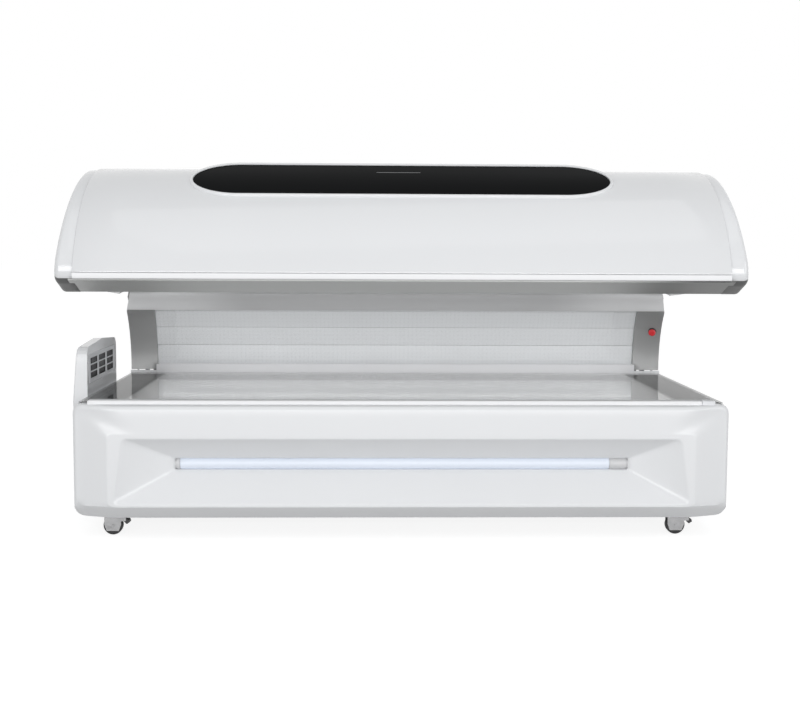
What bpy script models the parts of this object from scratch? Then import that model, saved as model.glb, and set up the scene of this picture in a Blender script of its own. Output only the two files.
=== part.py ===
"""Light therapy bed: a base on casters with a clear lying sheet, and a canopy of light boards on rear hinges.

Metres, +Z up, +X to the right of someone facing the front, front towards -Y. The origin is on the floor under
the middle of the bed. Side shapes are drawn as (depth, height), with depth going back from the base's front.
The canopy is modelled part open, at the height that it is left at for getting in.
"""

import math

import bmesh
import bpy
from mathutils import Vector

# Overall
FRONT_Y = -0.5387
GAP = 0.0003
SKIN = 0.004
SHEET = 0.002
PAN = 0.0012
CHANNEL = 0.003

# Base
BASE_HALF = 1.047
BASE_BOTTOM = 0.071
BASE_TOP = 0.4335
BASE_BACK = 1.072
PANEL_DEPTH = 0.080
PANEL_CORNER = 0.030
PANEL_EDGE = 0.014
PANEL_END_RUN = 0.107
PANEL_END_FLAT = BASE_HALF - PANEL_END_RUN
PANEL_END_SWEEP = 0.026
PANEL_UNDERCUT = 0.035
PANEL_UNDERCUT_DEPTH = 0.045
END_FLANGE = 0.020
END_EDGE = 0.010
REAR_PANEL_TOP = 0.425
FRAME_TUBE = 0.040
FRAME_INSET = 0.077
FRAME_HALF = BASE_HALF - FRAME_INSET
FRAME_FRONT = 0.125
FRAME_BACK = 1.030
FRAME_BOTTOM = 0.086
CROSS_MEMBER_X = 0.340
REAR_BEARER_LAP = 0.045
CASTER_PAD = 0.036
PAD_CLEARANCE = 0.002
STRUT_FOOT_HALF = 0.015

# Recess in the front panel and its lamp
RECESS_TOP = 0.332
RECESS_BOTTOM = 0.112
RECESS_TOP_HALF = BASE_HALF - 0.157
RECESS_BOTTOM_HALF = BASE_HALF - 0.127
RECESS_CORNER = 0.012
SLOT_HALF = BASE_HALF - 0.312
SLOT_CORNER = 0.004
SLOT_BOTTOM = 0.216
SLOT_HEIGHT = 0.042
RECESS_DEPTH = 0.075
SLOT_DEPTH = 0.044
LAMP_RADIUS = 0.0195
LAMP_CAP_RIGHT = 0.062
LAMP_CAP_LEFT = 0.018
LAMP_CAP_EDGE = 0.003

# Lying surface
ACRYLIC = 0.006
ACRYLIC_SIDE_LAP = 0.008
ACRYLIC_EDGE = 0.001
ACRYLIC_BACK = 0.955
TRIM_FRONT = 0.030
TRIM_BACK = 0.070
TRIM_HALF = BASE_HALF - 0.047
TRIM_TOP = 0.4485
TRIM_EDGE = 0.004
TRIM_END_LENGTH = 0.042
TRIM_END_TOP = 0.4492
SILL_TOP = 0.472
SILL_END_TOP = 0.4485
SILL_HALF = BASE_HALF - 0.107
TRAY_DEPTH = 0.030
TRAY_FRONT = 0.112
TRAY_LAP = 0.004
TRAY_CLEARANCE = 0.001
BED_BOARD_HALF = BASE_HALF - 0.105
BED_BOARD = 0.003
BOARD_GROOVE = 0.001
BOARD_PANELS = 6
BOARD_SEAM = 0.0012
POST_SIDE = 0.030
POST_DEPTHS = (0.285, 0.460)
POST_X = BASE_HALF - 0.072

# Hinge and canopy swing
HINGE_DEPTH = 1.045
HINGE_HEIGHT = 0.482
OPEN_NOW = 20.0
PIN_RADIUS = 0.009
PIN_SET = 0.001
BRACKET_CHEEK = 0.010
BRACKET_IN = BASE_HALF - 0.094
BRACKET_WIDTH = 0.042
BRACKET_RADIUS = 0.024
BRACKET_PLATE = 0.006
BRACKET_SET = 0.018

# Light arch, as the canopy now stands
ARCH_DEPTH = 0.646
ARCH_HEIGHT = 0.469
ARCH_RADIUS = 0.370
ARCH_TURN = 70.0
ARCH_FLAT = 0.271
ARCH_FACETS = 6
ARCH_FRONT_END = 134.0
BOARD = 0.003
BOARD_END_GAP = 0.0006
BOARD_BACK_GAP = 0.004
SHIELD = 0.003
SHIELD_STEP = 0.012

# Arms
ARM_FRONT_RADIUS = 0.326
ARM_SLANT = 0.030
ARM_BACK_RADIUS = 0.430
ARM_IN = BASE_HALF - 0.1045
ARM_OUT = BASE_HALF - 0.007
BOARD_HALF = ARM_IN - 0.0005
ARM_KNEE = ARM_OUT - 0.036
ARM_NOTCH_GAP = 0.002
ARM_NOTCH_BACK = 0.012
SILL_END_HALF = ARM_OUT
ARM_WALL = 0.004
ARM_WALL_TURN = 2.0
ARM_POCKET_PAST = 0.060
ARM_BOTTOM_TURN = -3.5
ARM_BACK_END_TURN = 8.0
ARM_POCKET_TURN = -14.0
ARM_SHOULDER_TURN = 41.0
ARM_TOP_TURN = 62.0
ARM_LOW_TOP_TURN = 45.0
RAIL_TOP_TURN = 58.0
RAIL_SOFT_TURN = 1.2
RAIL_GAP_TURN = 0.06
RAIL_SET = 0.002
RAIL_EDGE = 0.006
TAPER_TURN = 50.0
TAPER_SLOPE = 0.26
TAPER_LEAD = 0.02
TAPER_REACH = 0.20
TAPER_RADII = (0.25, 0.50)

# Canopy shell
CANOPY_HALF = BASE_HALF + 0.053
CAP_WIDTH = 0.055
CAP_SEAM = CANOPY_HALF - CAP_WIDTH
SHELL_DEPTH = 0.476
SHELL_HEIGHT = 0.681
SHELL_RADIUS = 0.518
CAP_STEP = 0.006
SHELL_FRONT_TURN = 160.3
SHELL_BACK_TURN = 40.0
SHELL_BACK_RUN = 0.290
SHELL_RIM = (0.016, -0.037)
SHELL_STEPS = 20
CAP_ROUND = 0.024
CAP_LEAN = 0.062
CAP_NOSE = 0.045
FRONT_RAIL_HEIGHT = 0.027
FRONT_RAIL_DEPTH = 0.020
FRONT_RAIL_SET = 0.001
FRONT_RAIL_EDGE = 0.0015
LIP_SET = 0.012
LIP_RUN = 0.118
LIP = 0.005
RIB_IN = ARM_IN - 0.0035
RIB = 0.003
RIB_GAP = 0.0012
RIB_FRONT_TURN = 4.0
RIB_HEEL = 0.050
RIB_TUBE = 0.030
RIB_CHANNELS = ((0.470, 1.135), (0.860, 0.895), (0.085, 0.920))
COVER_HALF = CAP_SEAM - 0.011
COVER_BACK = 1.089
COVER_BOTTOM = 0.505
COVER_GAP = 0.0008
COVER_SLOPE = 0.045

# Console
CONSOLE_DEPTH = 0.2543
CONSOLE_HEIGHT = 1.1563
CONSOLE_TILT = 31.3
CONSOLE_STRAIGHT = 0.532
CONSOLE_END = 0.158
CONSOLE_HALF = 0.100
CONSOLE_RIM = 0.011
CONSOLE_GLASS = 0.004
CONSOLE_RIM_RISE = 0.004
CONSOLE_RIM_EDGE = 0.003
CONSOLE_BODY = 0.048

# Air outlet at the left end
DUCT_FRONT = 0.250
DUCT_BACK = 0.720
DUCT_TOP = 0.598
DUCT_CROWN = 0.012
DUCT_BOTTOM = 0.110
DUCT_IN = BASE_HALF + GAP
DUCT_WIDTH = 0.0487
DUCT_OUT = DUCT_IN + DUCT_WIDTH
DUCT_KNEE = 0.420
DUCT_LEAN = 0.0145
DUCT_WALL = 0.003
INTAKE_SLOTS = 6
INTAKE_LIFT = 0.004
INTAKE_HEIGHT = 0.009
DUCT_CORNER = 0.035
GRILLE = 0.003
VENT_LENGTH = 0.108
VENT_PITCH = 0.128
VENT_HEIGHT = 0.020
VENT_ROW = 0.0245
VENT_CENTRE_DEPTH = 0.482
VENT_CENTRE_HEIGHT = 0.522
VENT_COUNT = 3
VENT_MARGIN = 0.012
VENT_LEDGE = 0.006
VENT_PROUD = 0.0006
FAN_RADIUS = 0.056
FAN_HUB = 0.020
FAN_HEIGHT = 0.260
FAN_BLADES = 7
FAN_SHAFT = 0.003
FAN_SHAFT_LENGTH = 0.0115
FAN_BAR = 0.012
FAN_BAR_SET = 0.0125
FAN_SET = 0.0162
FAN_DEPTH = 0.014
FAN_BLADE_SHAPE = ((0.016, 0.010, 0.9), (0.053, 0.018, 0.45))
FAN_BLADE_RISE = 0.6
FAN_BLADE_HALF = 0.0008

# Gas springs
STRUT_X = ARM_OUT - 0.020
STRUT_FOOT = (1.006, 0.200)
STRUT_HEAD = (1.005, 0.465)
STRUT_BODY_RADIUS = 0.009
STRUT_BODY_LENGTH = 0.160
STRUT_SHOULDER = 0.004
STRUT_NECK_LAP = 0.003
STRUT_BORE_START = 0.030
STRUT_ROD_START = 0.090
STRUT_ROD_RADIUS = 0.004
STRUT_EYE_RADIUS = 0.0115
STRUT_EYE_WIDTH = 0.014
STRUT_STUD_RADIUS = 0.0035
STRUT_EYE_BORE = 0.0085

# Stop button on the right arm
STOP_TURN = 24.0
STOP_X = ARM_OUT - 0.032
STOP_RADIUS = 0.014
STOP_COLLAR = 0.016
STOP_HEIGHT = 0.016
STOP_STEM = 0.006
STOP_HOLE_GAP = 0.003
STOP_SEAT = 0.0012
STOP_RING = 0.004
STOP_SLEEVE = 0.022
STOP_SLEEVE_WALL = 0.0025
STOP_STEM_IN = 0.010
STOP_STEM_OUT = 0.0095
STOP_DOME = 0.003

# Casters
WHEEL_RADIUS = 0.0315
WHEEL_WIDTH = 0.026
WHEEL_EDGE = 0.002
WHEEL_FLAT = 0.006
AXLE_RADIUS = 0.004
CASTER_X = FRAME_HALF - 0.052
CASTER_FRONT = 0.110
CASTER_BACK = 0.960
CASTER_TRAIL = 0.020
FORK_PLATE = 0.0025
FORK_TOP = 0.0775
FORK_NECK = 0.009
FORK_DISC = 0.024
FORK_LOW = 0.014
FORK_CLEARANCE = 0.0015
FORK_REACH = 0.027
AXLE_PROUD = 0.003
PEDAL_LENGTH = 0.034
PEDAL = 0.006
PEDAL_PIN = 0.002
PEDAL_PIN_SET = 0.005
PEDAL_CLEARANCE = 0.0025
PEDAL_LIFT = 0.020
PEDAL_EAR = 0.004

# Electrical boxes
SUPPLY_SIZE = (0.260, 0.130, 0.080)
SUPPLY_X = -0.640
CONTROL_SIZE = (0.240, 0.180, 0.090)
CONTROL_X = 0.620
BOX_DEPTH = 0.560
BOX_EDGE = 0.004
SUPPLY_FINS = 8
FIN_HALF = 0.005
FIN_DEPTH = 0.015
INLET_X = 0.700
INLET_HEIGHT = 0.170
INLET_WIDTH = 0.048
INLET_TALL = 0.028
INLET_LENGTH = 0.022
INLET_FLANGE = 0.006
INLET_FLANGE_DEPTH = 0.003
INLET_SIDE_WALL = 0.008
INLET_WALL = 0.005
INLET_BACK_WALL = 0.004
LOUVRE_ROWS = 6
LOUVRE_PITCH = 0.022
LOUVRE_HEIGHT = 0.008
LOUVRE_LENGTH = 0.360
LOUVRE_X = 0.450
LOUVRE_LOW = 0.200

# Finishes: colour, roughness, metallic
WHITE_GLOSS = ((0.83, 0.84, 0.86, 1), 0.18, 0.0)
WHITE_SATIN = ((0.78, 0.79, 0.81, 1), 0.35, 0.0)
GREY_SATIN = ((0.36, 0.37, 0.39, 1), 0.40, 0.0)
BLACK_GLOSS = ((0.01, 0.011, 0.012, 1), 0.06, 0.0)
BLACK_PLASTIC = ((0.02, 0.02, 0.022, 1), 0.50, 0.0)
POLISHED_STEEL = ((0.60, 0.61, 0.62, 1), 0.12, 1.0)
BARE_ALUMINIUM = ((0.78, 0.79, 0.80, 1), 0.28, 1.0)
FRAME_STEEL = ((0.14, 0.145, 0.15, 1), 0.45, 0.3)
CLEAR_SHEET = ((0.90, 0.93, 0.95, 1), 0.03, 0.0)
LAMP_WHITE = ((0.86, 0.90, 1.00, 1), 0.30, 0.0)
SIGNAL_RED = ((0.70, 0.010, 0.015, 1), 0.28, 0.0)
TREAD_RUBBER = ((0.012, 0.012, 0.013, 1), 0.70, 0.0)

ROUND = 20
SMOOTH_TURN = math.radians(32)

for old in list(bpy.data.objects):
    bpy.data.objects.remove(old, do_unlink=True)


# Places in the side view

def polar(centre, radius, turn):
    """A (depth, height) point at an angle in degrees from straight back, turning up."""
    angle = math.radians(turn)
    return (centre[0] + radius * math.cos(angle), centre[1] + radius * math.sin(angle))


def arc(centre, radius, start, end, steps):
    return [polar(centre, radius, start + (end - start) * k / steps) for k in range(steps + 1)]


def along(start, turn, run):
    """The (depth, height) point a run away from a start, at an angle in degrees."""
    return polar(start, run, turn)


def offset_path(path, distance):
    """An open (depth, height) path moved to the left of its direction."""
    moved = []
    for k, here in enumerate(path):
        before = Vector(here) - Vector(path[max(k - 1, 0)])
        after = Vector(path[min(k + 1, len(path) - 1)]) - Vector(here)
        sides = [Vector((-v.y, v.x)).normalized() for v in (before, after) if v.length > 0]
        side = sum(sides, Vector((0, 0))).normalized()
        stretch = 1 / max(side.dot(sides[0]), 0.4)
        moved.append(tuple(Vector(here) + side * distance * stretch))
    return moved


def band(path, thickness):
    """A closed outline of an open path given a thickness to its left."""
    return list(path) + offset_path(path, thickness)[::-1]


# Meshes

def at(x, depth, height):
    return Vector((x, FRONT_Y + depth, height))


def loft(rings, start_cap=True):
    """Closed rings of points joined in order, with flat caps; the first end can be left open."""
    mesh = bmesh.new()
    rows = [[mesh.verts.new(p) for p in ring] for ring in rings]
    count = len(rows[0])
    for row, following in zip(rows, rows[1:]):
        for k in range(count):
            mesh.faces.new((row[k], row[(k + 1) % count], following[(k + 1) % count], following[k]))
    if start_cap:
        mesh.faces.new(rows[0][::-1])
    mesh.faces.new(rows[-1])
    bmesh.ops.recalc_face_normals(mesh, faces=mesh.faces)
    return mesh


def prism(outline, left, right):
    """A (depth, height) outline drawn out along X."""
    return loft([[at(x, d, z) for d, z in outline] for x in (left, right)])


def box(left, right, front, back, bottom, top):
    return prism([(front, bottom), (back, bottom), (back, top), (front, top)], left, right)


def circle(centre, axis, radius, count=ROUND):
    across = axis.orthogonal().normalized()
    up = axis.normalized().cross(across)
    turns = [2 * math.pi * k / count for k in range(count)]
    return [centre + radius * (math.cos(t) * across + math.sin(t) * up) for t in turns]


def turned(start, axis, profile, count=ROUND):
    """A turned solid: profile is (run along the axis, radius) pairs."""
    axis = axis.normalized()
    return loft([circle(start + axis * run, axis, radius, count) for run, radius in profile])


def rod(start, end, radius, count=ROUND):
    axis = end - start
    return turned(start, axis, [(0, radius), (axis.length, radius)], count)


def merged(meshes):
    """Several closed meshes in one, for a cutter with many bodies."""
    whole = bmesh.new()
    for mesh in meshes:
        copies = {v: whole.verts.new(v.co) for v in mesh.verts}
        for face in mesh.faces:
            whole.faces.new([copies[v] for v in face.verts])
        mesh.free()
    return whole


def facing(mesh, direction):
    """Turns the faces of an open skin so that its largest face looks along a direction."""
    mesh.normal_update()
    largest = max(mesh.faces, key=lambda face: face.calc_area())
    if largest.normal.dot(Vector(direction)) < 0:
        bmesh.ops.reverse_faces(mesh, faces=mesh.faces)
    return mesh


# Objects

def joint(name, place, parent=None):
    """An empty on a joint's axis, which carries the pieces that move with it."""
    empty = bpy.data.objects.new(name, None)
    bpy.context.scene.collection.objects.link(empty)
    empty["place"] = place
    empty.parent = parent
    empty.location = place - (Vector(parent["place"]) if parent else Vector())
    return empty


def finish(name, look):
    colour, roughness, metallic = look
    made = bpy.data.materials.new(name + "_finish")
    made.use_nodes = True
    shader = made.node_tree.nodes["Principled BSDF"]
    shader.inputs["Base Color"].default_value = colour
    shader.inputs["Roughness"].default_value = roughness
    shader.inputs["Metallic"].default_value = metallic
    made.diffuse_color = colour
    return made


def link(name, mesh, carrier):
    bmesh.ops.translate(mesh, verts=mesh.verts, vec=-Vector(carrier["place"]))
    data = bpy.data.meshes.new(name)
    mesh.to_mesh(data)
    mesh.free()
    made = bpy.data.objects.new(name, data)
    bpy.context.scene.collection.objects.link(made)
    made.parent = carrier
    return made


def piece(name, mesh, look, carrier, smooth=False):
    made = link(name, mesh, carrier)
    made.data.materials.append(finish(name, look))
    if smooth:
        made.data.shade_smooth()
        made.data.set_sharp_from_angle(angle=SMOOTH_TURN)
    return made


def shape(made, mesh, operation):
    """Cuts a mesh out of a piece, or joins it on."""
    tool = link(f"{made.name}_{operation.lower()}_{len(made.modifiers)}", mesh, made.parent)
    tool.hide_render = True
    tool.display_type = "WIRE"
    step = made.modifiers.new(tool.name, "BOOLEAN")
    step.operation = operation
    step.solver = "EXACT"
    step.object = tool


def cut(made, mesh):
    shape(made, mesh, "DIFFERENCE")


def join(made, mesh):
    shape(made, mesh, "UNION")


def thicken(made, thickness):
    step = made.modifiers.new("wall", "SOLIDIFY")
    step.thickness = thickness
    step.offset = -1
    step.use_even_offset = True


def round_edges(made, width, segments=2):
    step = made.modifiers.new("edges", "BEVEL")
    step.width = width
    step.segments = segments
    step.limit_method = "ANGLE"
    step.angle_limit = SMOOTH_TURN


ALONG_X = Vector((1, 0, 0))
ALONG_Y = Vector((0, 1, 0))
UP = Vector((0, 0, 1))
SIDES = (("left", -1), ("right", 1))
HINGE = (HINGE_DEPTH, HINGE_HEIGHT)
ARCH = (ARCH_DEPTH, ARCH_HEIGHT)
SHELL = (SHELL_DEPTH, SHELL_HEIGHT)

base = joint("base", Vector((0, 0, 0)))
canopy = joint("canopy_hinge", at(0, *HINGE), base)


# Base housing

def rounded_ring(half_bottom, half_top, bottom, top, radius, split, depth):
    """A four-sided outline with round corners in the front view, and two more points on each long edge."""
    corners = [(-half_bottom, bottom), (half_bottom, bottom), (half_top, top), (-half_top, top)]
    extra = {0: [(-split, bottom), (split, bottom)], 2: [(split, top), (-split, top)]}
    ring = []
    for k, corner in enumerate(corners):
        here = Vector(corner)
        come = (here - Vector(corners[k - 1])).normalized()
        leave = (Vector(corners[(k + 1) % 4]) - here).normalized()
        for step in range(5):
            t = step / 4
            start = here - come * radius
            end = here + leave * radius
            ring.append((1 - t) ** 2 * start + 2 * t * (1 - t) * here + t * t * end)
        ring += [Vector(p) for p in extra.get(k, [])]
    return [at(p.x, depth(p.x, p.y), p.y) for p in ring]


def end_sweep(x):
    """How far the front panel's ends curve back."""
    share = max(abs(x) - PANEL_END_FLAT, 0) / (BASE_HALF - PANEL_END_FLAT)
    return PANEL_END_SWEEP * share ** 2


def edge_depth(x, z):
    """Depth of the panel's outline: the lower edge is undercut."""
    share = min(max((BASE_BOTTOM + PANEL_CORNER - z) / PANEL_CORNER, 0), 1)
    return PANEL_EDGE + end_sweep(x) + share * (PANEL_UNDERCUT_DEPTH - PANEL_EDGE)


def build_front_panel():
    face_bottom = BASE_BOTTOM + PANEL_UNDERCUT
    slot_top = SLOT_BOTTOM + SLOT_HEIGHT
    inner_split = SLOT_HALF * PANEL_END_FLAT / BASE_HALF
    recess_split = RECESS_TOP_HALF * PANEL_END_FLAT / BASE_HALF

    def outline(depth):
        return rounded_ring(BASE_HALF, BASE_HALF, BASE_BOTTOM, BASE_TOP, PANEL_CORNER, PANEL_END_FLAT, depth)

    def slot(depth):
        return rounded_ring(SLOT_HALF, SLOT_HALF, SLOT_BOTTOM, slot_top, SLOT_CORNER, inner_split, depth)

    face_half = BASE_HALF - PANEL_EDGE
    rings = [
        outline(lambda x, z: PANEL_DEPTH),
        outline(edge_depth),
        rounded_ring(BASE_HALF - PANEL_EDGE / 4, BASE_HALF - PANEL_EDGE / 4, BASE_BOTTOM + PANEL_UNDERCUT / 2,
                     BASE_TOP - PANEL_EDGE / 4, PANEL_CORNER, PANEL_END_FLAT,
                     lambda x, z: PANEL_EDGE / 4 + end_sweep(x) + (edge_depth(x, z) - end_sweep(x)) / 5),
        rounded_ring(face_half, face_half, face_bottom, BASE_TOP - PANEL_EDGE, PANEL_CORNER, PANEL_END_FLAT,
                     lambda x, z: end_sweep(x)),
        rounded_ring(RECESS_BOTTOM_HALF, RECESS_TOP_HALF, RECESS_BOTTOM, RECESS_TOP, RECESS_CORNER,
                     recess_split, lambda x, z: 0),
        slot(lambda x, z: RECESS_DEPTH),
        slot(lambda x, z: RECESS_DEPTH + SLOT_DEPTH),
    ]
    mesh = facing(loft(rings, False), (0, -1, 0))
    panel = piece("front_panel", mesh, WHITE_GLOSS, base, smooth=True)
    thicken(panel, SKIN)


def build_accent_lamp():
    middle = SLOT_BOTTOM + SLOT_HEIGHT / 2
    depth = RECESS_DEPTH + SLOT_DEPTH / 2
    inside = SLOT_HALF - GAP
    left = -inside + LAMP_CAP_LEFT
    right = inside - LAMP_CAP_RIGHT
    tall = SLOT_HEIGHT / 2 - GAP
    lamp = rod(at(left + GAP, depth, middle), at(right - GAP, depth, middle), LAMP_RADIUS)
    piece("accent_lamp_tube", lamp, LAMP_WHITE, base, smooth=True)
    deep = SLOT_DEPTH / 2 - GAP
    for name, start, end in (("left", -inside, left), ("right", right, inside)):
        cap = piece(f"accent_lamp_cap_{name}", box(start, end, depth - deep, depth + deep, middle - tall,
                                                  middle + tall), GREY_SATIN, base)
        round_edges(cap, LAMP_CAP_EDGE)


def build_end_panels():
    """Shallow end trays with round edges; their top flange is notched where the arms swing down."""
    for name, side in SIDES:
        inner = side * (BASE_HALF - END_FLANGE)
        outer = side * BASE_HALF
        mesh = box(inner, outer, PANEL_DEPTH + GAP, BASE_BACK, BASE_BOTTOM, BASE_TOP)
        open_side = [f for f in mesh.faces if f.normal.x * side < -0.9]
        bmesh.ops.delete(mesh, geom=open_side, context="FACES")
        rim = [e for e in mesh.edges if not e.is_boundary]
        bmesh.ops.bevel(mesh, geom=rim, offset=END_EDGE, segments=3, affect="EDGES", profile=0.5)
        panel = piece(f"end_panel_{name}", facing(mesh, (side, 0, 0)), WHITE_GLOSS, base, smooth=True)
        thicken(panel, SKIN)
        cut(panel, box(inner - side * SKIN, side * (ARM_OUT + ARM_NOTCH_GAP), ACRYLIC_BACK + GAP,
                       BASE_BACK - ARM_NOTCH_BACK, BASE_TOP - 2 * SKIN, BASE_TOP + SKIN))


def build_rear_panel():
    half = BASE_HALF - END_FLANGE - GAP
    panel = piece("rear_panel", box(-half, half, BASE_BACK - SHEET, BASE_BACK, BASE_BOTTOM, REAR_PANEL_TOP),
                  WHITE_SATIN, base)
    slots = []
    for centre in (-LOUVRE_X, LOUVRE_X):
        for row in range(LOUVRE_ROWS):
            low = LOUVRE_LOW + row * LOUVRE_PITCH
            slots.append(box(centre - LOUVRE_LENGTH / 2, centre + LOUVRE_LENGTH / 2, BASE_BACK - 2 * SHEET,
                             BASE_BACK + SHEET, low, low + LOUVRE_HEIGHT))
    slots.append(box(INLET_X - INLET_WIDTH / 2 - GAP, INLET_X + INLET_WIDTH / 2 + GAP, BASE_BACK - 2 * SHEET,
                     BASE_BACK + SHEET, INLET_HEIGHT - INLET_TALL / 2 - GAP,
                     INLET_HEIGHT + INLET_TALL / 2 + GAP))
    cut(panel, merged(slots))


def build_power_inlet():
    """A cord inlet through the rear panel: a flange outside, a body inside and a socket with its opening."""
    wide = INLET_WIDTH / 2
    tall = INLET_TALL / 2
    core = box(INLET_X - wide, INLET_X + wide, BASE_BACK - INLET_LENGTH, BASE_BACK + 2 * GAP,
               INLET_HEIGHT - tall, INLET_HEIGHT + tall)
    body = piece("power_inlet", core, BLACK_PLASTIC, base)
    flange_wide = wide + INLET_FLANGE
    flange_tall = tall + INLET_FLANGE
    join(body, box(INLET_X - flange_wide, INLET_X + flange_wide, BASE_BACK + GAP,
                   BASE_BACK + INLET_FLANGE_DEPTH, INLET_HEIGHT - flange_tall, INLET_HEIGHT + flange_tall))
    socket_wide = wide - INLET_SIDE_WALL
    socket_tall = tall - INLET_WALL
    cut(body, box(INLET_X - socket_wide, INLET_X + socket_wide, BASE_BACK - INLET_LENGTH + INLET_BACK_WALL,
                  BASE_BACK + 2 * INLET_FLANGE_DEPTH, INLET_HEIGHT - socket_tall, INLET_HEIGHT + socket_tall))


def caster_places():
    ends = (("front", CASTER_FRONT), ("rear", CASTER_BACK))
    return [(name, end, side * CASTER_X, depth) for end, depth in ends for name, side in SIDES]


def build_frame():
    """Welded tube: a floor ring with cross members, posts, tray bearers, caster pads and strut feet."""
    low = FRAME_BOTTOM
    high = FRAME_BOTTOM + FRAME_TUBE
    out = FRAME_HALF
    inner = FRAME_HALF - FRAME_TUBE
    front = FRAME_FRONT
    back = FRAME_BACK
    tube = FRAME_TUBE
    tray_low = BASE_TOP - GAP - TRAY_DEPTH
    frame = piece("base_frame", box(-out, out, front, front + tube, low, high), FRAME_STEEL, base)
    join(frame, box(-out, out, back - tube, back, low, high))
    lengths = [-out, -CROSS_MEMBER_X - tube / 2, CROSS_MEMBER_X - tube / 2, inner]
    join(frame, merged([box(x, x + tube, front + tube / 2, back - tube / 2, low, high) for x in lengths]))
    wall = CHANNEL
    grooves = [box(-out + wall, out - wall, start + wall, start + tube - wall, low - wall, high - wall)
               for start in (front, back - tube)]
    cut(frame, merged(grooves))
    cut(frame, merged([box(x + wall, x + tube - wall, front + wall, back - wall, low - wall, high - wall)
                       for x in lengths]))
    bearer_top = tray_low - GAP
    bracket_seat = REAR_PANEL_TOP + GAP
    posts = []
    for _, side in SIDES:
        edge = side * out
        within = side * inner
        posts.append(box(within, edge, front, front + tube, high - tube / 2, bearer_top))
        posts.append(box(within, edge, back - tube, back, high - tube / 2, bracket_seat))
    join(frame, merged(posts))
    join(frame, box(-out, out, front, front + tube, bearer_top - tube / 2, bearer_top))
    rear_bearer = ACRYLIC_BACK - REAR_BEARER_LAP
    join(frame, merged([box(-out, -inner, rear_bearer, back - tube / 2, bearer_top - tube / 2, bearer_top),
                        box(inner, out, rear_bearer, back - tube / 2, bearer_top - tube / 2, bearer_top)]))
    join(frame, box(-out, out, rear_bearer, rear_bearer + tube / 2, bearer_top - tube / 2, bearer_top))
    pads = []
    for _, _, x, depth in caster_places():
        pads.append(box(x - CASTER_PAD, x + CASTER_PAD, depth - CASTER_PAD, depth + CASTER_PAD,
                        FORK_TOP + GAP, low + CHANNEL / 2))
    join(frame, merged(pads))
    feet = []
    for _, side in SIDES:
        plate = side * (STRUT_X - STRUT_BODY_RADIUS - GAP)
        feet.append(box(side * (out - tube / 4), plate, STRUT_FOOT[0] - STRUT_FOOT_HALF,
                        STRUT_FOOT[0] + STRUT_FOOT_HALF, high - tube / 2, STRUT_FOOT[1] + STRUT_FOOT_HALF))
    join(frame, merged(feet))
    studs = []
    for _, side in SIDES:
        start = at(side * (out - SHEET), *STRUT_FOOT)
        end = at(side * (STRUT_X + STRUT_EYE_WIDTH / 2), *STRUT_FOOT)
        studs.append(rod(start, end, STRUT_STUD_RADIUS, 16))
    join(frame, merged(studs))


def build_bottom_pan():
    half = BASE_HALF - END_FLANGE - GAP
    top = FRAME_BOTTOM - GAP
    pan = piece("bottom_pan", box(-half, half, PANEL_DEPTH + GAP, BASE_BACK - SHEET - GAP, top - PAN,
                                  top), GREY_SATIN, base)
    hole = CASTER_PAD + PAD_CLEARANCE
    cut(pan, merged([box(x - hole, x + hole, depth - hole, depth + hole, top - 2 * SHEET, top + SHEET)
                     for _, _, x, depth in caster_places()]))


# Lying surface

def build_lying_surface():
    under = BASE_TOP + GAP
    half = BASE_HALF - END_FLANGE + ACRYLIC_SIDE_LAP
    sheet = piece("lying_sheet", box(-half, half, TRIM_BACK + GAP, ACRYLIC_BACK, under, under + ACRYLIC),
                  CLEAR_SHEET, base)
    round_edges(sheet, ACRYLIC_EDGE)
    trim_end = TRIM_HALF - TRIM_END_LENGTH
    trim = piece("front_trim", box(-TRIM_HALF, trim_end, TRIM_FRONT, TRIM_BACK, under, TRIM_TOP),
                 BARE_ALUMINIUM, base)
    round_edges(trim, TRIM_EDGE, 3)
    cap = piece("trim_end_cap", box(trim_end + GAP, TRIM_HALF, TRIM_FRONT, TRIM_BACK, under, TRIM_END_TOP),
                WHITE_SATIN, base)
    round_edges(cap, TRIM_EDGE / 2)


def build_rear_sill():
    """A bent strip on the rear panel's top edge that closes the base behind the sheet, with a low upstand."""
    seat = REAR_PANEL_TOP + 2 * GAP
    front = ACRYLIC_BACK + 2 * GAP
    path = [(BASE_BACK, seat), (front, seat), (front, SILL_TOP)]
    sill = piece("rear_sill", prism(band(path, -SHEET), -SILL_HALF, SILL_HALF), WHITE_SATIN, base)
    ends = [(side * (SILL_HALF - SHEET), side * SILL_END_HALF) for _, side in SIDES]
    join(sill, merged([box(start, end, front, front + SHEET, seat, SILL_END_TOP) for start, end in ends]))


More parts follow.
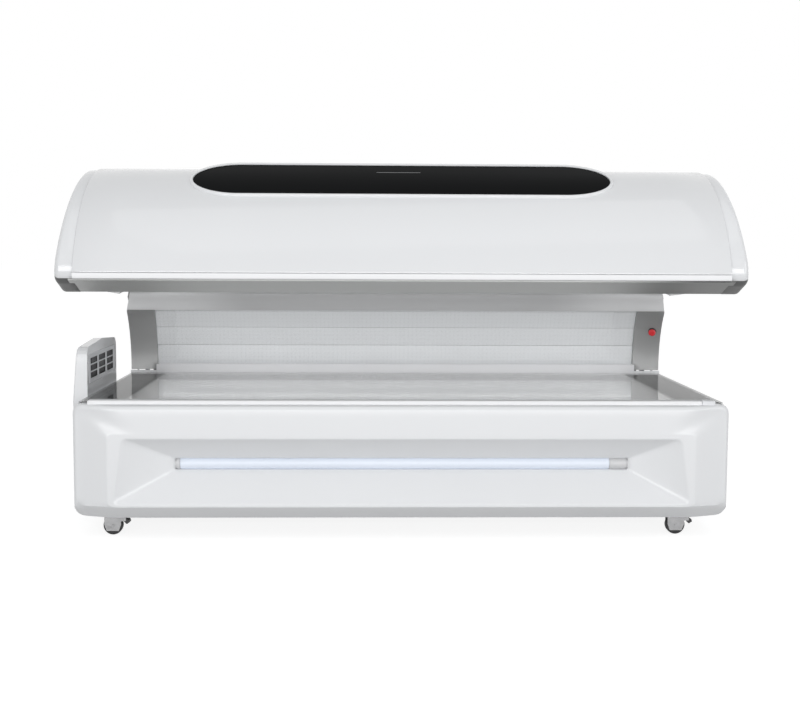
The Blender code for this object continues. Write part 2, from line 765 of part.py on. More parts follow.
def build_tray():
    """An open dark tray under the sheet, with posts at the ends that the sheet rests on."""
    half = BASE_HALF - END_FLANGE - SKIN - TRAY_CLEARANCE
    top = BASE_TOP - GAP
    low = top - TRAY_DEPTH
    back = ACRYLIC_BACK - TRAY_LAP
    tray = piece("light_tray", box(-half, half, TRAY_FRONT, back, low, top), BLACK_PLASTIC, base)
    cut(tray, box(-half + SHEET, half - SHEET, TRAY_FRONT + SHEET, back - SHEET, low + SHEET, top + SHEET))
    posts = []
    for _, side in SIDES:
        for depth in POST_DEPTHS:
            middle = side * POST_X
            posts.append(box(middle - POST_SIDE / 2, middle + POST_SIDE / 2, depth - POST_SIDE / 2,
                             depth + POST_SIDE / 2, low + SHEET / 2, top))
    join(tray, merged(posts))
    floor = low + SHEET + GAP
    board = piece("bed_light_board", box(-BED_BOARD_HALF, BED_BOARD_HALF, TRAY_FRONT + SHEET + GAP,
                                         back - SHEET - GAP, floor, floor + BED_BOARD), WHITE_SATIN, base)
    grooves = []
    for k in range(1, BOARD_PANELS):
        x = -BED_BOARD_HALF + 2 * BED_BOARD_HALF * k / BOARD_PANELS
        grooves.append(box(x - BOARD_SEAM, x + BOARD_SEAM, TRAY_FRONT, back, floor + BED_BOARD - BOARD_GROOVE,
                           floor + BED_BOARD + BOARD_GROOVE))
    cut(board, merged(grooves))


# Air outlet at the left end

def duct_outline(inset):
    """The duct's side outline (depth, height), with a crowned top and round upper corners."""
    front = DUCT_FRONT + inset
    back = DUCT_BACK - inset
    top = DUCT_TOP - inset
    radius = DUCT_CORNER - inset
    bottom = DUCT_BOTTOM + inset
    outline = [(front, DUCT_KNEE), (front, bottom), (back, bottom), (back, DUCT_KNEE)]
    outline += arc((back - radius, top - radius), radius, 0, 80, 4)
    outline.append(((front + back) / 2, top + DUCT_CROWN))
    outline += arc((front + radius, top - radius), radius, 100, 180, 4)
    return outline


def leaned(outline, x_bottom, x_top):
    """The outline at one X up to the knee, and leaning from there to another X at the top."""
    shares = [max(z - DUCT_KNEE, 0) / (DUCT_TOP - DUCT_KNEE) for _, z in outline]
    return [at(x_bottom + (x_top - x_bottom) * share, d, z) for (d, z), share in zip(outline, shares)]


def build_duct():
    wall = DUCT_WALL
    outer = duct_outline(0)
    rings = [leaned(outer, -DUCT_IN, -DUCT_IN), leaned(outer, -DUCT_OUT + wall, -DUCT_OUT + DUCT_LEAN + wall),
             leaned(duct_outline(wall), -DUCT_OUT, -DUCT_OUT + DUCT_LEAN)]
    duct = piece("air_duct", loft(rings), WHITE_GLOSS, base)
    hollow = duct_outline(wall)
    pocket = [leaned(hollow, -DUCT_IN - wall, -DUCT_IN - wall),
              leaned(hollow, -DUCT_OUT + wall, -DUCT_OUT + DUCT_LEAN + wall)]
    cut(duct, loft(pocket))
    middle = (DUCT_FRONT + DUCT_BACK) / 2
    intake = []
    for k in range(INTAKE_SLOTS):
        low = FAN_HEIGHT - FAN_RADIUS + k * 2 * FAN_RADIUS / INTAKE_SLOTS + INTAKE_LIFT
        intake.append(box(-DUCT_OUT - wall, -DUCT_OUT + 4 * wall, middle - FAN_RADIUS, middle + FAN_RADIUS,
                          low, low + INTAKE_HEIGHT))
    cut(duct, merged(intake))
    bar = -DUCT_OUT + FAN_BAR_SET
    join(duct, box(bar, bar + wall, middle - FAN_BAR / 2, middle + FAN_BAR / 2, DUCT_BOTTOM + wall / 2,
                   FAN_HEIGHT + FAN_BAR / 2))
    shaft_end = bar + FAN_SHAFT_LENGTH
    join(duct, rod(at(bar + wall / 2, middle, FAN_HEIGHT), at(shaft_end, middle, FAN_HEIGHT), FAN_SHAFT, 16))
    low = VENT_CENTRE_HEIGHT - (VENT_COUNT * VENT_ROW) / 2 - VENT_MARGIN
    high = VENT_CENTRE_HEIGHT + (VENT_COUNT * VENT_ROW) / 2 + VENT_MARGIN
    reach = VENT_COUNT * VENT_PITCH / 2 + VENT_MARGIN
    frame = (VENT_CENTRE_DEPTH - reach, VENT_CENTRE_DEPTH + reach, low, high)
    cut(duct, box(-DUCT_IN - wall / 2, -DUCT_IN + wall, *frame))
    ledge = VENT_LEDGE
    cut(duct, box(-DUCT_IN - 2 * wall, -DUCT_IN + wall, frame[0] + ledge, frame[1] - ledge, frame[2] + ledge,
                  frame[3] - ledge))
    return frame


def build_grille(frame):
    """The vent plate: three rows of three slots, set into the duct's inner face."""
    front, back, low, high = frame
    sheet = box(-DUCT_IN - DUCT_WALL / 2 + GAP, -DUCT_IN + VENT_PROUD, front + GAP, back - GAP, low + GAP,
                high - GAP)
    plate = piece("vent_grille", sheet, WHITE_SATIN, base)
    slots = []
    for column in range(VENT_COUNT):
        for row in range(VENT_COUNT):
            depth = VENT_CENTRE_DEPTH + (column - (VENT_COUNT - 1) / 2) * VENT_PITCH
            height = VENT_CENTRE_HEIGHT + (row - (VENT_COUNT - 1) / 2) * VENT_ROW
            slots.append(box(-DUCT_IN - GRILLE, -DUCT_IN + GRILLE, depth - VENT_LENGTH / 2,
                             depth + VENT_LENGTH / 2, height - VENT_HEIGHT / 2, height + VENT_HEIGHT / 2))
    cut(plate, merged(slots))


def build_fan():
    """The duct's fan: a hub on a short shaft with flat pitched blades."""
    middle = (DUCT_FRONT + DUCT_BACK) / 2
    start = at(-DUCT_OUT + FAN_SET, middle, FAN_HEIGHT)
    carrier = joint("duct_fan_axis", start, base)
    depth = FAN_DEPTH
    hub = rod(start, start + ALONG_X * depth, FAN_HUB)
    fan = piece("duct_fan_rotor", hub, BLACK_PLASTIC, carrier, smooth=True)
    for k in range(FAN_BLADES):
        angle = 2 * math.pi * k / FAN_BLADES
        radial = Vector((0, math.cos(angle), math.sin(angle)))
        around = ALONG_X.cross(radial)
        rings = []
        for reach, width, pitch in FAN_BLADE_SHAPE:
            centre = start + ALONG_X * depth / 2 + radial * reach
            chord = around * math.cos(pitch) + ALONG_X * math.sin(pitch) * FAN_BLADE_RISE
            face = chord.cross(radial).normalized() * FAN_BLADE_HALF
            rings.append([centre + chord * width / 2 + face, centre - chord * width / 2 + face,
                          centre - chord * width / 2 - face, centre + chord * width / 2 - face])
        join(fan, loft(rings))
    cut(fan, rod(start - ALONG_X * SHEET, start + ALONG_X * (FAN_SHAFT_LENGTH - SHEET), FAN_SHAFT + GAP, 16))


# Hinges and gas springs

def build_hinges():
    for name, side in SIDES:
        inner = side * BRACKET_IN
        outer = side * (BRACKET_IN + BRACKET_WIDTH)
        seat = REAR_PANEL_TOP + 2 * GAP
        plate = box(inner, outer, FRAME_BACK - FRAME_TUBE + BRACKET_SET, HINGE_DEPTH + BRACKET_RADIUS, seat,
                    seat + BRACKET_PLATE)
        bracket = piece(f"hinge_bracket_{name}", plate, FRAME_STEEL, base)
        for face in (inner, outer - side * BRACKET_CHEEK):
            cheek = [(HINGE_DEPTH - BRACKET_RADIUS, seat + BRACKET_PLATE / 2),
                     (HINGE_DEPTH + BRACKET_RADIUS, seat + BRACKET_PLATE / 2)]
            cheek += arc(HINGE, BRACKET_RADIUS, 0, 180, 10)
            join(bracket, prism(cheek, face, face + side * BRACKET_CHEEK))
        start = at(side * (ARM_IN + PIN_SET), *HINGE)
        end = at(side * (ARM_OUT - PIN_SET), *HINGE)
        cut(bracket, rod(start, end, PIN_RADIUS + GAP))
        piece(f"hinge_pin_{name}", rod(start, end, PIN_RADIUS), POLISHED_STEEL, base, smooth=True)


def build_struts():
    """Gas springs: a cylinder that swings on its foot and a rod whose eye surrounds the arm's stud."""
    foot2 = Vector(STRUT_FOOT)
    head2 = Vector(STRUT_HEAD)
    line = (head2 - foot2).normalized()
    axis = Vector((0, line.x, line.y))
    length = (head2 - foot2).length
    half = STRUT_EYE_WIDTH / 2
    for name, side in SIDES:
        foot = at(side * STRUT_X, *STRUT_FOOT)
        head = at(side * STRUT_X, *STRUT_HEAD)
        swing = joint(f"gas_spring_swing_{name}", foot, base)
        slide = joint(f"gas_spring_slide_{name}", foot, swing)
        barrel = turned(foot + axis * (STRUT_EYE_RADIUS - STRUT_NECK_LAP), axis, [
            (0, STRUT_BODY_RADIUS * 0.7), (STRUT_SHOULDER, STRUT_BODY_RADIUS),
            (STRUT_BODY_LENGTH - STRUT_SHOULDER, STRUT_BODY_RADIUS),
            (STRUT_BODY_LENGTH, STRUT_BODY_RADIUS * 0.8)])
        body = piece(f"gas_cylinder_{name}", barrel, BLACK_PLASTIC, swing, smooth=True)
        eye = rod(foot - ALONG_X * half, foot + ALONG_X * half, STRUT_EYE_RADIUS)
        join(body, eye)
        cut(body, rod(foot - ALONG_X * 2 * half, foot + ALONG_X * 2 * half, STRUT_STUD_RADIUS + GAP, 16))
        bore_end = foot + axis * (STRUT_BODY_LENGTH + STRUT_BORE_START)
        cut(body, rod(foot + axis * STRUT_BORE_START, bore_end, STRUT_ROD_RADIUS + GAP, 16))
        neck = foot + axis * (length - STRUT_EYE_BORE - SHEET / 2)
        shaft = piece(f"gas_rod_{name}", rod(foot + axis * STRUT_ROD_START, neck, STRUT_ROD_RADIUS, 16),
                      POLISHED_STEEL, slide, smooth=True)
        join(shaft, rod(head - ALONG_X * half, head + ALONG_X * half, STRUT_EYE_RADIUS))
        cut(shaft, rod(head - ALONG_X * 2 * half, head + ALONG_X * 2 * half, STRUT_EYE_BORE))


# Light arch and canopy inside

def arch_path(radius):
    """The arch's facets from the rear seam over the top to the front, at a radius from its corner centres."""
    rear = arc(ARCH, radius, 0, ARCH_TURN, ARCH_FACETS)
    front_centre = along(ARCH, ARCH_TURN + 90, ARCH_FLAT)
    front = arc(front_centre, radius, ARCH_TURN, ARCH_FRONT_END, ARCH_FACETS)
    return rear + front


def build_light_boards():
    path = arch_path(ARCH_RADIUS)
    names = ("lower", "middle", "upper")
    for name, low, high in zip(names, path, path[1:]):
        turn = Vector(high) - Vector(low)
        share = BOARD_END_GAP / turn.length
        start = tuple(Vector(low) + turn * share)
        end = tuple(Vector(high) - turn * share)
        board = piece(f"wall_light_board_{name}", prism(band([start, end], -BOARD), -BOARD_HALF, BOARD_HALF),
                      WHITE_SATIN, canopy)
        grooves = []
        past = turn.normalized() * BOARD
        run = [tuple(Vector(start) - past), tuple(Vector(end) + past)]
        outline = offset_path(run, BOARD_GROOVE) + offset_path(run, -BOARD_GROOVE)[::-1]
        for k in range(1, BOARD_PANELS):
            x = -BOARD_HALF + 2 * BOARD_HALF * k / BOARD_PANELS
            grooves.append(prism(outline, x - BOARD_SEAM, x + BOARD_SEAM))
        cut(board, merged(grooves))
    rest = path[len(names):]
    first = Vector(rest[1]) - Vector(rest[0])
    rest[0] = tuple(Vector(rest[0]) + first.normalized() * BOARD_END_GAP)
    piece("canopy_light_array", prism(band(rest, -BOARD), -BOARD_HALF, BOARD_HALF), WHITE_SATIN, canopy)
    shield = arch_path(ARCH_RADIUS - SHIELD_STEP)
    piece("canopy_shield", prism(band(shield, -SHIELD), -ARM_IN + GAP, ARM_IN - GAP), CLEAR_SHEET, canopy)


def arm_outline(front_radius, top_turn):
    """An arm's side outline: a curved band that steps back above its shoulder, and is round at the hinge."""
    lower_front = arc(ARCH, front_radius, ARM_BOTTOM_TURN, ARM_SHOULDER_TURN, 8)
    upper_front = arc(ARCH, ARCH_RADIUS + BOARD + BOARD_BACK_GAP, ARM_SHOULDER_TURN, top_turn, 3)
    back = arc(ARCH, ARM_BACK_RADIUS, top_turn, ARM_BACK_END_TURN, 8)
    heel = arc(HINGE, BRACKET_RADIUS, 0, -100, 4)
    return lower_front + upper_front + back + heel


def arm_pocket(front_radius, top_turn):
    """The hollow's outline, a wall inside the arm's front and open at its back and foot."""
    upper = ARCH_RADIUS + BOARD + BOARD_BACK_GAP + ARM_WALL
    outline = arc(ARCH, front_radius + ARM_WALL, ARM_POCKET_TURN, ARM_SHOULDER_TURN - ARM_WALL_TURN, 8)
    outline += arc(ARCH, upper, ARM_SHOULDER_TURN, top_turn - ARM_WALL_TURN, 3)
    outline += arc(ARCH, ARM_BACK_RADIUS + ARM_POCKET_PAST, top_turn - ARM_WALL_TURN, ARM_POCKET_TURN, 8)
    return outline


def arm_front(x):
    """The slanted front's radius at an X across the arm."""
    return ARM_FRONT_RADIUS + ARM_SLANT * (ARM_OUT - x) / (ARM_OUT - ARM_IN)


def build_arms():
    wall = ARM_WALL
    low_top = ARM_LOW_TOP_TURN
    stations = ((ARM_IN, ARM_TOP_TURN), (ARM_KNEE, ARM_TOP_TURN), (ARM_OUT, low_top))
    hollows = ((ARM_IN + wall, ARM_TOP_TURN), (ARM_KNEE - wall, ARM_TOP_TURN), (ARM_OUT - wall, low_top))
    for name, side in SIDES:
        rings = [[at(side * x, *p) for p in arm_outline(arm_front(x), top)] for x, top in stations]
        arm = piece(f"arm_{name}", loft(rings), POLISHED_STEEL, canopy, smooth=True)
        if name == "right":
            start, axis = stop_place()
            cut(arm, rod(start - axis * 2 * wall, start + axis * 2 * wall, STOP_STEM + STOP_HOLE_GAP))
        cut(arm, loft([[at(side * x, *p) for p in arm_pocket(arm_front(x), top)] for x, top in hollows]))
        bore = [at(side * x, *HINGE) for x in (ARM_IN - wall, ARM_OUT + wall)]
        cut(arm, rod(*bore, PIN_RADIUS + GAP))
        stud_end = side * (STRUT_X - STRUT_EYE_WIDTH / 2)
        stud_start = side * (ARM_OUT - wall / 2)
        join(arm, rod(at(stud_start, *STRUT_HEAD), at(stud_end, *STRUT_HEAD), STRUT_STUD_RADIUS, 16))


def taper_wedge(side):
    """A cutter that slants one end of the cross rail, so that it narrows towards its top as the arms do."""
    middle = math.radians(TAPER_TURN)
    out = Vector((math.cos(middle), math.sin(middle)))
    rise = Vector((-math.sin(middle), math.cos(middle)))
    first = ARM_FRONT_RADIUS * math.sin(math.radians(ARM_SHOULDER_TURN) - middle)
    low, high = TAPER_RADII
    corners = [(low, -TAPER_LEAD), (low, TAPER_REACH), (high, TAPER_REACH), (high, -TAPER_LEAD)]
    rings = [[], []]
    for radius, run in corners:
        place = Vector(ARCH) + out * radius + rise * (first + run)
        rings[0].append(at(side * (ARM_OUT - TAPER_SLOPE * run), *place))
        rings[1].append(at(side * (ARM_OUT + TAPER_LEAD), *place))
    return loft(rings)


def stop_place():
    """Where the stop button's axis leaves the right arm's slanted front, and its direction."""
    place = polar(ARCH, arm_front(STOP_X), STOP_TURN)
    turn = math.radians(STOP_TURN)
    inward = Vector((0, -math.cos(turn), -math.sin(turn)))
    width = ARM_OUT - ARM_IN
    axis = (inward * width - ALONG_X * ARM_SLANT).normalized()
    return at(STOP_X, *place), axis


def build_stop_button():
    start, axis = stop_place()
    seat = start + axis * STOP_SEAT
    ring = turned(seat, axis, [(0, STOP_COLLAR), (STOP_RING / 2, STOP_COLLAR),
                               (STOP_RING, STOP_COLLAR - STOP_RING / 2)])
    collar = piece("stop_collar", ring, BLACK_PLASTIC, canopy, smooth=True)
    join(collar, rod(seat + axis * STOP_RING / 4, seat - axis * STOP_SLEEVE, STOP_STEM + STOP_SLEEVE_WALL))
    cut(collar, rod(seat + axis * STOP_HEIGHT, seat - axis * (STOP_SLEEVE - STOP_RING), STOP_STEM + GAP))
    carrier = joint("stop_button_slide", seat, canopy)
    top = STOP_HEIGHT
    knob = turned(seat, axis, [(-STOP_STEM_IN, STOP_STEM), (STOP_STEM_OUT, STOP_STEM),
                               (STOP_STEM_OUT, STOP_RADIUS), (top - STOP_DOME, STOP_RADIUS),
                               (top - STOP_DOME / 4, STOP_RADIUS * 0.85), (top, STOP_RADIUS * 0.5)])
    piece("stop_button", knob, SIGNAL_RED, carrier, smooth=True)


def build_cross_rail():
    low = ARM_FRONT_RADIUS + RAIL_SET
    high = ARCH_RADIUS - SHIELD_STEP - BOARD_BACK_GAP
    start = ARM_SHOULDER_TURN + RAIL_GAP_TURN
    soft = RAIL_SOFT_TURN
    path = [polar(ARCH, high, start), polar(ARCH, low + RAIL_EDGE, start),
            polar(ARCH, low + RAIL_EDGE / 4, start + soft / 3)]
    path += arc(ARCH, low, start + soft, RAIL_TOP_TURN - soft, 4)
    path += [polar(ARCH, low + RAIL_EDGE, RAIL_TOP_TURN), polar(ARCH, high, RAIL_TOP_TURN)]
    channel_mesh = prism(band(path, -CHANNEL), -ARM_OUT, ARM_OUT)
    rail = piece("cross_rail", channel_mesh, BARE_ALUMINIUM, canopy, smooth=True)
    cut(rail, merged([taper_wedge(side) for _, side in SIDES]))


# Canopy outside

def shell_path(radius, back_run=SHELL_BACK_RUN):
    """The canopy's outline from its front crease over the top and straight down the back."""
    path = arc(SHELL, radius, SHELL_FRONT_TURN, SHELL_BACK_TURN, SHELL_STEPS)
    path.append(along(path[-1], SHELL_BACK_TURN - 90, back_run))
    path.append((path[-1][0] + SHELL_RIM[0], path[-1][1] + SHELL_RIM[1]))
    return path


def lip_points():
    """Front and inner edge of the lip's underside, which lies level when the canopy is shut."""
    crease = shell_path(SHELL_RADIUS)[0]
    front = (crease[0] + LIP_SET, crease[1] - FRONT_RAIL_HEIGHT)
    return front, along(front, -OPEN_NOW, LIP_RUN)


def build_shell():
    path = shell_path(SHELL_RADIUS)
    skin = prism(band(path, -SKIN), -CAP_SEAM, CAP_SEAM)
    shell = piece("canopy_shell", skin, WHITE_GLOSS, canopy, smooth=True)
    hole = CONSOLE_RIM + GAP
    cut(shell, loft([oval(hole, -2 * CONSOLE_BODY), oval(hole, CONSOLE_BODY)]))
    crease = path[0]
    top = crease[1] - GAP
    low = crease[1] - FRONT_RAIL_HEIGHT + LIP + GAP
    outer = crease[0] + FRONT_RAIL_SET
    back = outer + FRONT_RAIL_DEPTH
    middle = outer + FRONT_RAIL_DEPTH / 2
    section = [(outer, low), (back, low), (back, top - SKIN), (middle + SHEET, top - SKIN),
               (middle, top - SKIN / 2), (outer, top - SKIN / 2)]
    rail = piece("front_rail", prism(section, -CAP_SEAM, CAP_SEAM), BARE_ALUMINIUM, canopy)
    round_edges(rail, FRONT_RAIL_EDGE)
    piece("canopy_lip", prism(band(lip_points(), LIP), -CAP_SEAM, CAP_SEAM), GREY_SATIN, canopy)


def cap_path():
    """The caps' outline: the lip's underside, a round nose, and the shell's outline a step lower."""
    front, inner = lip_points()
    shell = shell_path(SHELL_RADIUS - CAP_STEP)[1:]
    start = Vector(along(front, -OPEN_NOW, CAP_NOSE))
    corner = Vector(front) - Vector((FRONT_RAIL_DEPTH / 2, 0))
    end = Vector(shell[0])
    nose = []
    for k in range(7):
        t = k / 6
        nose.append(tuple((1 - t) ** 2 * start + 2 * t * (1 - t) * corner + t * t * end))
    return [inner] + nose + shell[1:]


def build_caps():
    """End caps: the shell's outline swept out to a round edge, and closed by a flat side that leans in."""
    path = cap_path()
    low = min(z for _, z in offset_path(path, -CAP_ROUND))
    steps = 4
    section = [(CAP_SEAM + GAP, 0.0)]
    for k in range(steps + 1):
        turn = math.pi / 2 * k / steps
        section.append((CANOPY_HALF - CAP_ROUND * (1 - math.sin(turn)), CAP_ROUND * (1 - math.cos(turn))))
    for name, side in SIDES:
        mesh = bmesh.new()
        rows = []
        for x, inset in section:
            lean = CAP_LEAN * (x - CAP_SEAM) / (CANOPY_HALF - CAP_SEAM)
            outline = [(side * (x - lean * (z - low)), d, z) for d, z in offset_path(path, -inset)]
            rows.append([mesh.verts.new(at(*corner)) for corner in outline])
        for row, following in zip(rows, rows[1:]):
            for k in range(len(row) - 1):
                mesh.faces.new((row[k], row[k + 1], following[k + 1], following[k]))
        mesh.faces.new(rows[-1])
        bmesh.ops.recalc_face_normals(mesh, faces=mesh.faces)
        cap = piece(f"canopy_cap_{name}", facing(mesh, (side, 0, 0)), WHITE_GLOSS, canopy, smooth=True)
        thicken(cap, SKIN)


def channel(depth, top, size):
    """A channel section, open below, under a given height."""
    half = size / 2
    path = [(depth - half, top - size), (depth - half, top), (depth + half, top), (depth + half, top - size)]
    return band(path, -CHANNEL)


def build_canopy_frame():
    """Two ribs between the light boards and the shell, with tubes along the canopy that join them."""
    outer = arc(SHELL, SHELL_RADIUS - SKIN - RIB_GAP, SHELL_FRONT_TURN - RIB_FRONT_TURN, SHELL_BACK_TURN, 14)
    inner = offset_path(arch_path(ARCH_RADIUS), -BOARD - RIB_GAP)[:-1]
    heel = [along(inner[0], 0, RIB_HEEL), inner[0]]
    rib = outer + [along(outer[-1], SHELL_BACK_TURN - 90, SHELL_BACK_RUN - RIB_TUBE)] + heel + inner[1:]
    frame = piece("canopy_frame", prism(rib, -RIB_IN - RIB, -RIB_IN), FRAME_STEEL, canopy)
    join(frame, prism(rib, RIB_IN, RIB_IN + RIB))
    reach = RIB_IN + RIB / 2
    for depth, height in RIB_CHANNELS:
        join(frame, prism(channel(depth, height, RIB_TUBE), -reach, reach))


def build_rear_cover():
    top = shell_path(SHELL_RADIUS)[-1]
    path = [(top[0], top[1] - COVER_GAP), (COVER_BACK, top[1] - COVER_SLOPE), (COVER_BACK, COVER_BOTTOM)]
    piece("canopy_rear_cover", prism(band(path, -SHEET), -COVER_HALF, COVER_HALF), WHITE_SATIN, canopy)


# Console

def oval(grow, rise, steps=10):
    """A long oval with elliptical ends in the console's tilted plane, lifted along its normal."""
    tilt = math.radians(CONSOLE_TILT)
    slope = Vector((0, math.cos(tilt), math.sin(tilt)))
    normal = Vector((0, -math.sin(tilt), math.cos(tilt)))
    centre = at(0, CONSOLE_DEPTH, CONSOLE_HEIGHT) + normal * rise
    points = []
    for side in (1, -1):
        for k in range(steps + 1):
            turn = math.pi * (k / steps - 0.5)
            x = side * (CONSOLE_STRAIGHT + (CONSOLE_END + grow) * math.cos(turn))
            v = side * (CONSOLE_HALF + grow) * math.sin(turn)
            points.append(centre + ALONG_X * x + slope * v)
    return points


def build_console():
    pocket = CONSOLE_GLASS
    body = loft([oval(CONSOLE_RIM, -CONSOLE_BODY), oval(CONSOLE_RIM, 0),
                 oval(CONSOLE_RIM - CONSOLE_RIM_EDGE, CONSOLE_RIM_RISE)])
    bezel = piece("console_bezel", body, WHITE_GLOSS, canopy, smooth=True)
    cut(bezel, loft([oval(GAP, -pocket - GAP), oval(GAP, 2 * CONSOLE_RIM_RISE)]))
    hollow = CONSOLE_RIM - SKIN
    cut(bezel, loft([oval(hollow, -2 * CONSOLE_BODY), oval(hollow, -pocket - GAP - SKIN)]))
    piece("console_glass", loft([oval(0, -pocket), oval(0, 0)]), BLACK_GLOSS, canopy)


# Electrical boxes

def build_boxes():
    floor = FRAME_BOTTOM
    for name, size, x, look in (("power_supply", SUPPLY_SIZE, SUPPLY_X, BARE_ALUMINIUM),
                                ("control_box", CONTROL_SIZE, CONTROL_X, GREY_SATIN)):
        wide, deep, tall = size
        made = piece(name, box(x - wide / 2, x + wide / 2, BOX_DEPTH - deep / 2, BOX_DEPTH + deep / 2, floor,
                               floor + tall), look, base)
        if name == "power_supply":
            fins = []
            for k in range(SUPPLY_FINS):
                start = x - wide / 2 + wide * (k + 0.5) / SUPPLY_FINS
                fins.append(box(start - FIN_HALF, start + FIN_HALF, BOX_DEPTH - deep, BOX_DEPTH + deep,
                                floor + tall - FIN_DEPTH, floor + tall + FIN_DEPTH))
            cut(made, merged(fins))
        else:
            round_edges(made, BOX_EDGE)


# Casters

def build_casters():
    for side_name, end, x, depth in caster_places():
        name = f"{end}_{side_name}"
        swivel = joint(f"caster_swivel_{name}", at(x, depth, FORK_TOP), base)
        axle = at(x - CASTER_TRAIL, depth, WHEEL_RADIUS)
        wheel_joint = joint(f"caster_axle_{name}", axle, swivel)
        half = WHEEL_WIDTH / 2
        fork_in = half + FORK_CLEARANCE
        fork_out = fork_in + FORK_PLATE
        top = at(x, depth, FORK_TOP)
        fork = piece(f"caster_fork_{name}", turned(top - UP * (FORK_NECK + FORK_PLATE / 2), UP, [
            (0, FORK_DISC), (FORK_NECK, FORK_DISC), (FORK_NECK + FORK_PLATE / 2, FORK_DISC * 0.8)], 16),
            BARE_ALUMINIUM, swivel, smooth=True)
        reach = FORK_REACH
        crown = FORK_TOP - FORK_NECK
        side_plate = [(-reach, WHEEL_RADIUS * 1.1), (-reach * 0.72, FORK_LOW), (reach * 0.72, FORK_LOW),
                      (reach, WHEEL_RADIUS * 1.1), (reach, crown), (-reach, crown)]
        plates = []
        for inner, outer in ((fork_in, fork_out), (-fork_out, -fork_in)):
            rings = [[at(axle.x + u, depth + v, z) for u, z in side_plate] for v in (inner, outer)]
            plates.append(loft(rings))
        join(fork, merged(plates))
        join(fork, box(axle.x - reach, axle.x + reach, depth - fork_out, depth + fork_out, crown - FORK_PLATE,
                       crown))
        proud = ALONG_Y * (fork_out + AXLE_PROUD)
        join(fork, rod(axle - proud, axle + proud, AXLE_RADIUS, 16))
        wheel = piece(f"caster_wheel_{name}", turned(axle - ALONG_Y * half, ALONG_Y, [
            (0, WHEEL_RADIUS * 0.93), (WHEEL_EDGE, WHEEL_RADIUS * 0.98), (half - WHEEL_FLAT, WHEEL_RADIUS),
            (half + WHEEL_FLAT, WHEEL_RADIUS), (2 * half - WHEEL_EDGE, WHEEL_RADIUS * 0.98),
            (2 * half, WHEEL_RADIUS * 0.93)], 28), TREAD_RUBBER, wheel_joint, smooth=True)
        cut(wheel, rod(axle - ALONG_Y * 2 * half, axle + ALONG_Y * 2 * half, AXLE_RADIUS + GAP, 16))
        if end == "front":
            build_pedal(name, fork, axle, depth)


def build_pedal(name, fork, axle, depth):
    """A brake pedal on the right of the wheel, turning on a cross pin between two ears of the fork."""
    half = WHEEL_WIDTH / 2
    ear_in = half + FORK_CLEARANCE
    ear_out = ear_in + FORK_PLATE
    start = axle.x + WHEEL_RADIUS + PEDAL_CLEARANCE
    pivot = at(start + PEDAL_PIN_SET, depth, WHEEL_RADIUS + PEDAL_LIFT)
    root = axle.x + WHEEL_RADIUS * 0.7
    tip = pivot.x + PEDAL_EAR
    ear = [(root, pivot.z + 2 * PEDAL_EAR), (root, pivot.z - PEDAL), (tip, pivot.z - PEDAL_PIN_SET),
           (tip, pivot.z + PEDAL_PIN_SET)]
    join(fork, merged([loft([[at(x, depth + v, z) for x, z in ear] for v in pair])
                       for pair in ((ear_in, ear_out), (-ear_out, -ear_in))]))
    join(fork, rod(pivot - ALONG_Y * (ear_out - GAP), pivot + ALONG_Y * (ear_out - GAP), PEDAL_PIN, 12))
    carrier = joint(f"caster_pedal_axis_{name}", pivot, fork.parent)
    tread = [(0, PEDAL), (PEDAL_LENGTH * 0.55, -PEDAL_PIN), (PEDAL_LENGTH * 0.62, -PEDAL * 1.6),
             (PEDAL_LENGTH * 0.30, -PEDAL * 2.8), (0.001, -PEDAL * 1.2)]
    outline = [[at(start + u, depth + v, pivot.z + w) for u, w in tread] for v in (-half, half)]
    pedal = piece(f"caster_pedal_{name}", loft(outline), BLACK_PLASTIC, carrier)
    round_edges(pedal, PEDAL_PIN * 0.75)
    cut(pedal, rod(pivot - ALONG_Y * 2 * half, pivot + ALONG_Y * 2 * half, PEDAL_PIN + GAP, 12))


build_front_panel()
build_accent_lamp()
build_end_panels()
build_rear_panel()
build_power_inlet()
build_frame()
build_bottom_pan()
build_lying_surface()
build_rear_sill()
build_tray()
vent_frame = build_duct()
build_grille(vent_frame)
build_fan()
build_hinges()
build_struts()
build_light_boards()
build_arms()
build_stop_button()
build_cross_rail()
build_shell()
build_caps()
build_canopy_frame()
build_rear_cover()
build_console()
build_boxes()
build_casters()
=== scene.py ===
"""Looks for the light therapy bed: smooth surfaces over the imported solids, finishes, light and camera.

Metres, +Z up, front towards -Y. Side profiles are (depth, height) pairs, with depth measured back from the
base's front. Turns are in degrees: in a side profile, 0 is straight back and 90 is straight up.
"""

import math

import bmesh
import bpy
import numpy as np
from mathutils import Matrix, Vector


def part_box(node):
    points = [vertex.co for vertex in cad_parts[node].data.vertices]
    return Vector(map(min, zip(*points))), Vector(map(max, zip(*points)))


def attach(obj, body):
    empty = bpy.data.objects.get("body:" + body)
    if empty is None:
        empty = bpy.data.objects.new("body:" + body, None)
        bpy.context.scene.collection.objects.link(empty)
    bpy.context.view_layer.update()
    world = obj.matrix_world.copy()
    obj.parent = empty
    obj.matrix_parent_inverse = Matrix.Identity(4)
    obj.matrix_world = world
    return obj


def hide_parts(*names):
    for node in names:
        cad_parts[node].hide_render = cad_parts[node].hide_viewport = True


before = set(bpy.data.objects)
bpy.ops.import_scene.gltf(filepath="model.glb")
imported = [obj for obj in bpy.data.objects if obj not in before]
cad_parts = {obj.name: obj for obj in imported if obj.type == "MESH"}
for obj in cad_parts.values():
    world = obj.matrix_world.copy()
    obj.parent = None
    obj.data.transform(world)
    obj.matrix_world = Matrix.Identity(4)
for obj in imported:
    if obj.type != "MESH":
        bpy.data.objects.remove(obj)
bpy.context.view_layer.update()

# Sizes used all over
FRONT_Y = -0.5387
GAP = 0.0003
SKIN = 0.004
QUARTER = math.pi / 2
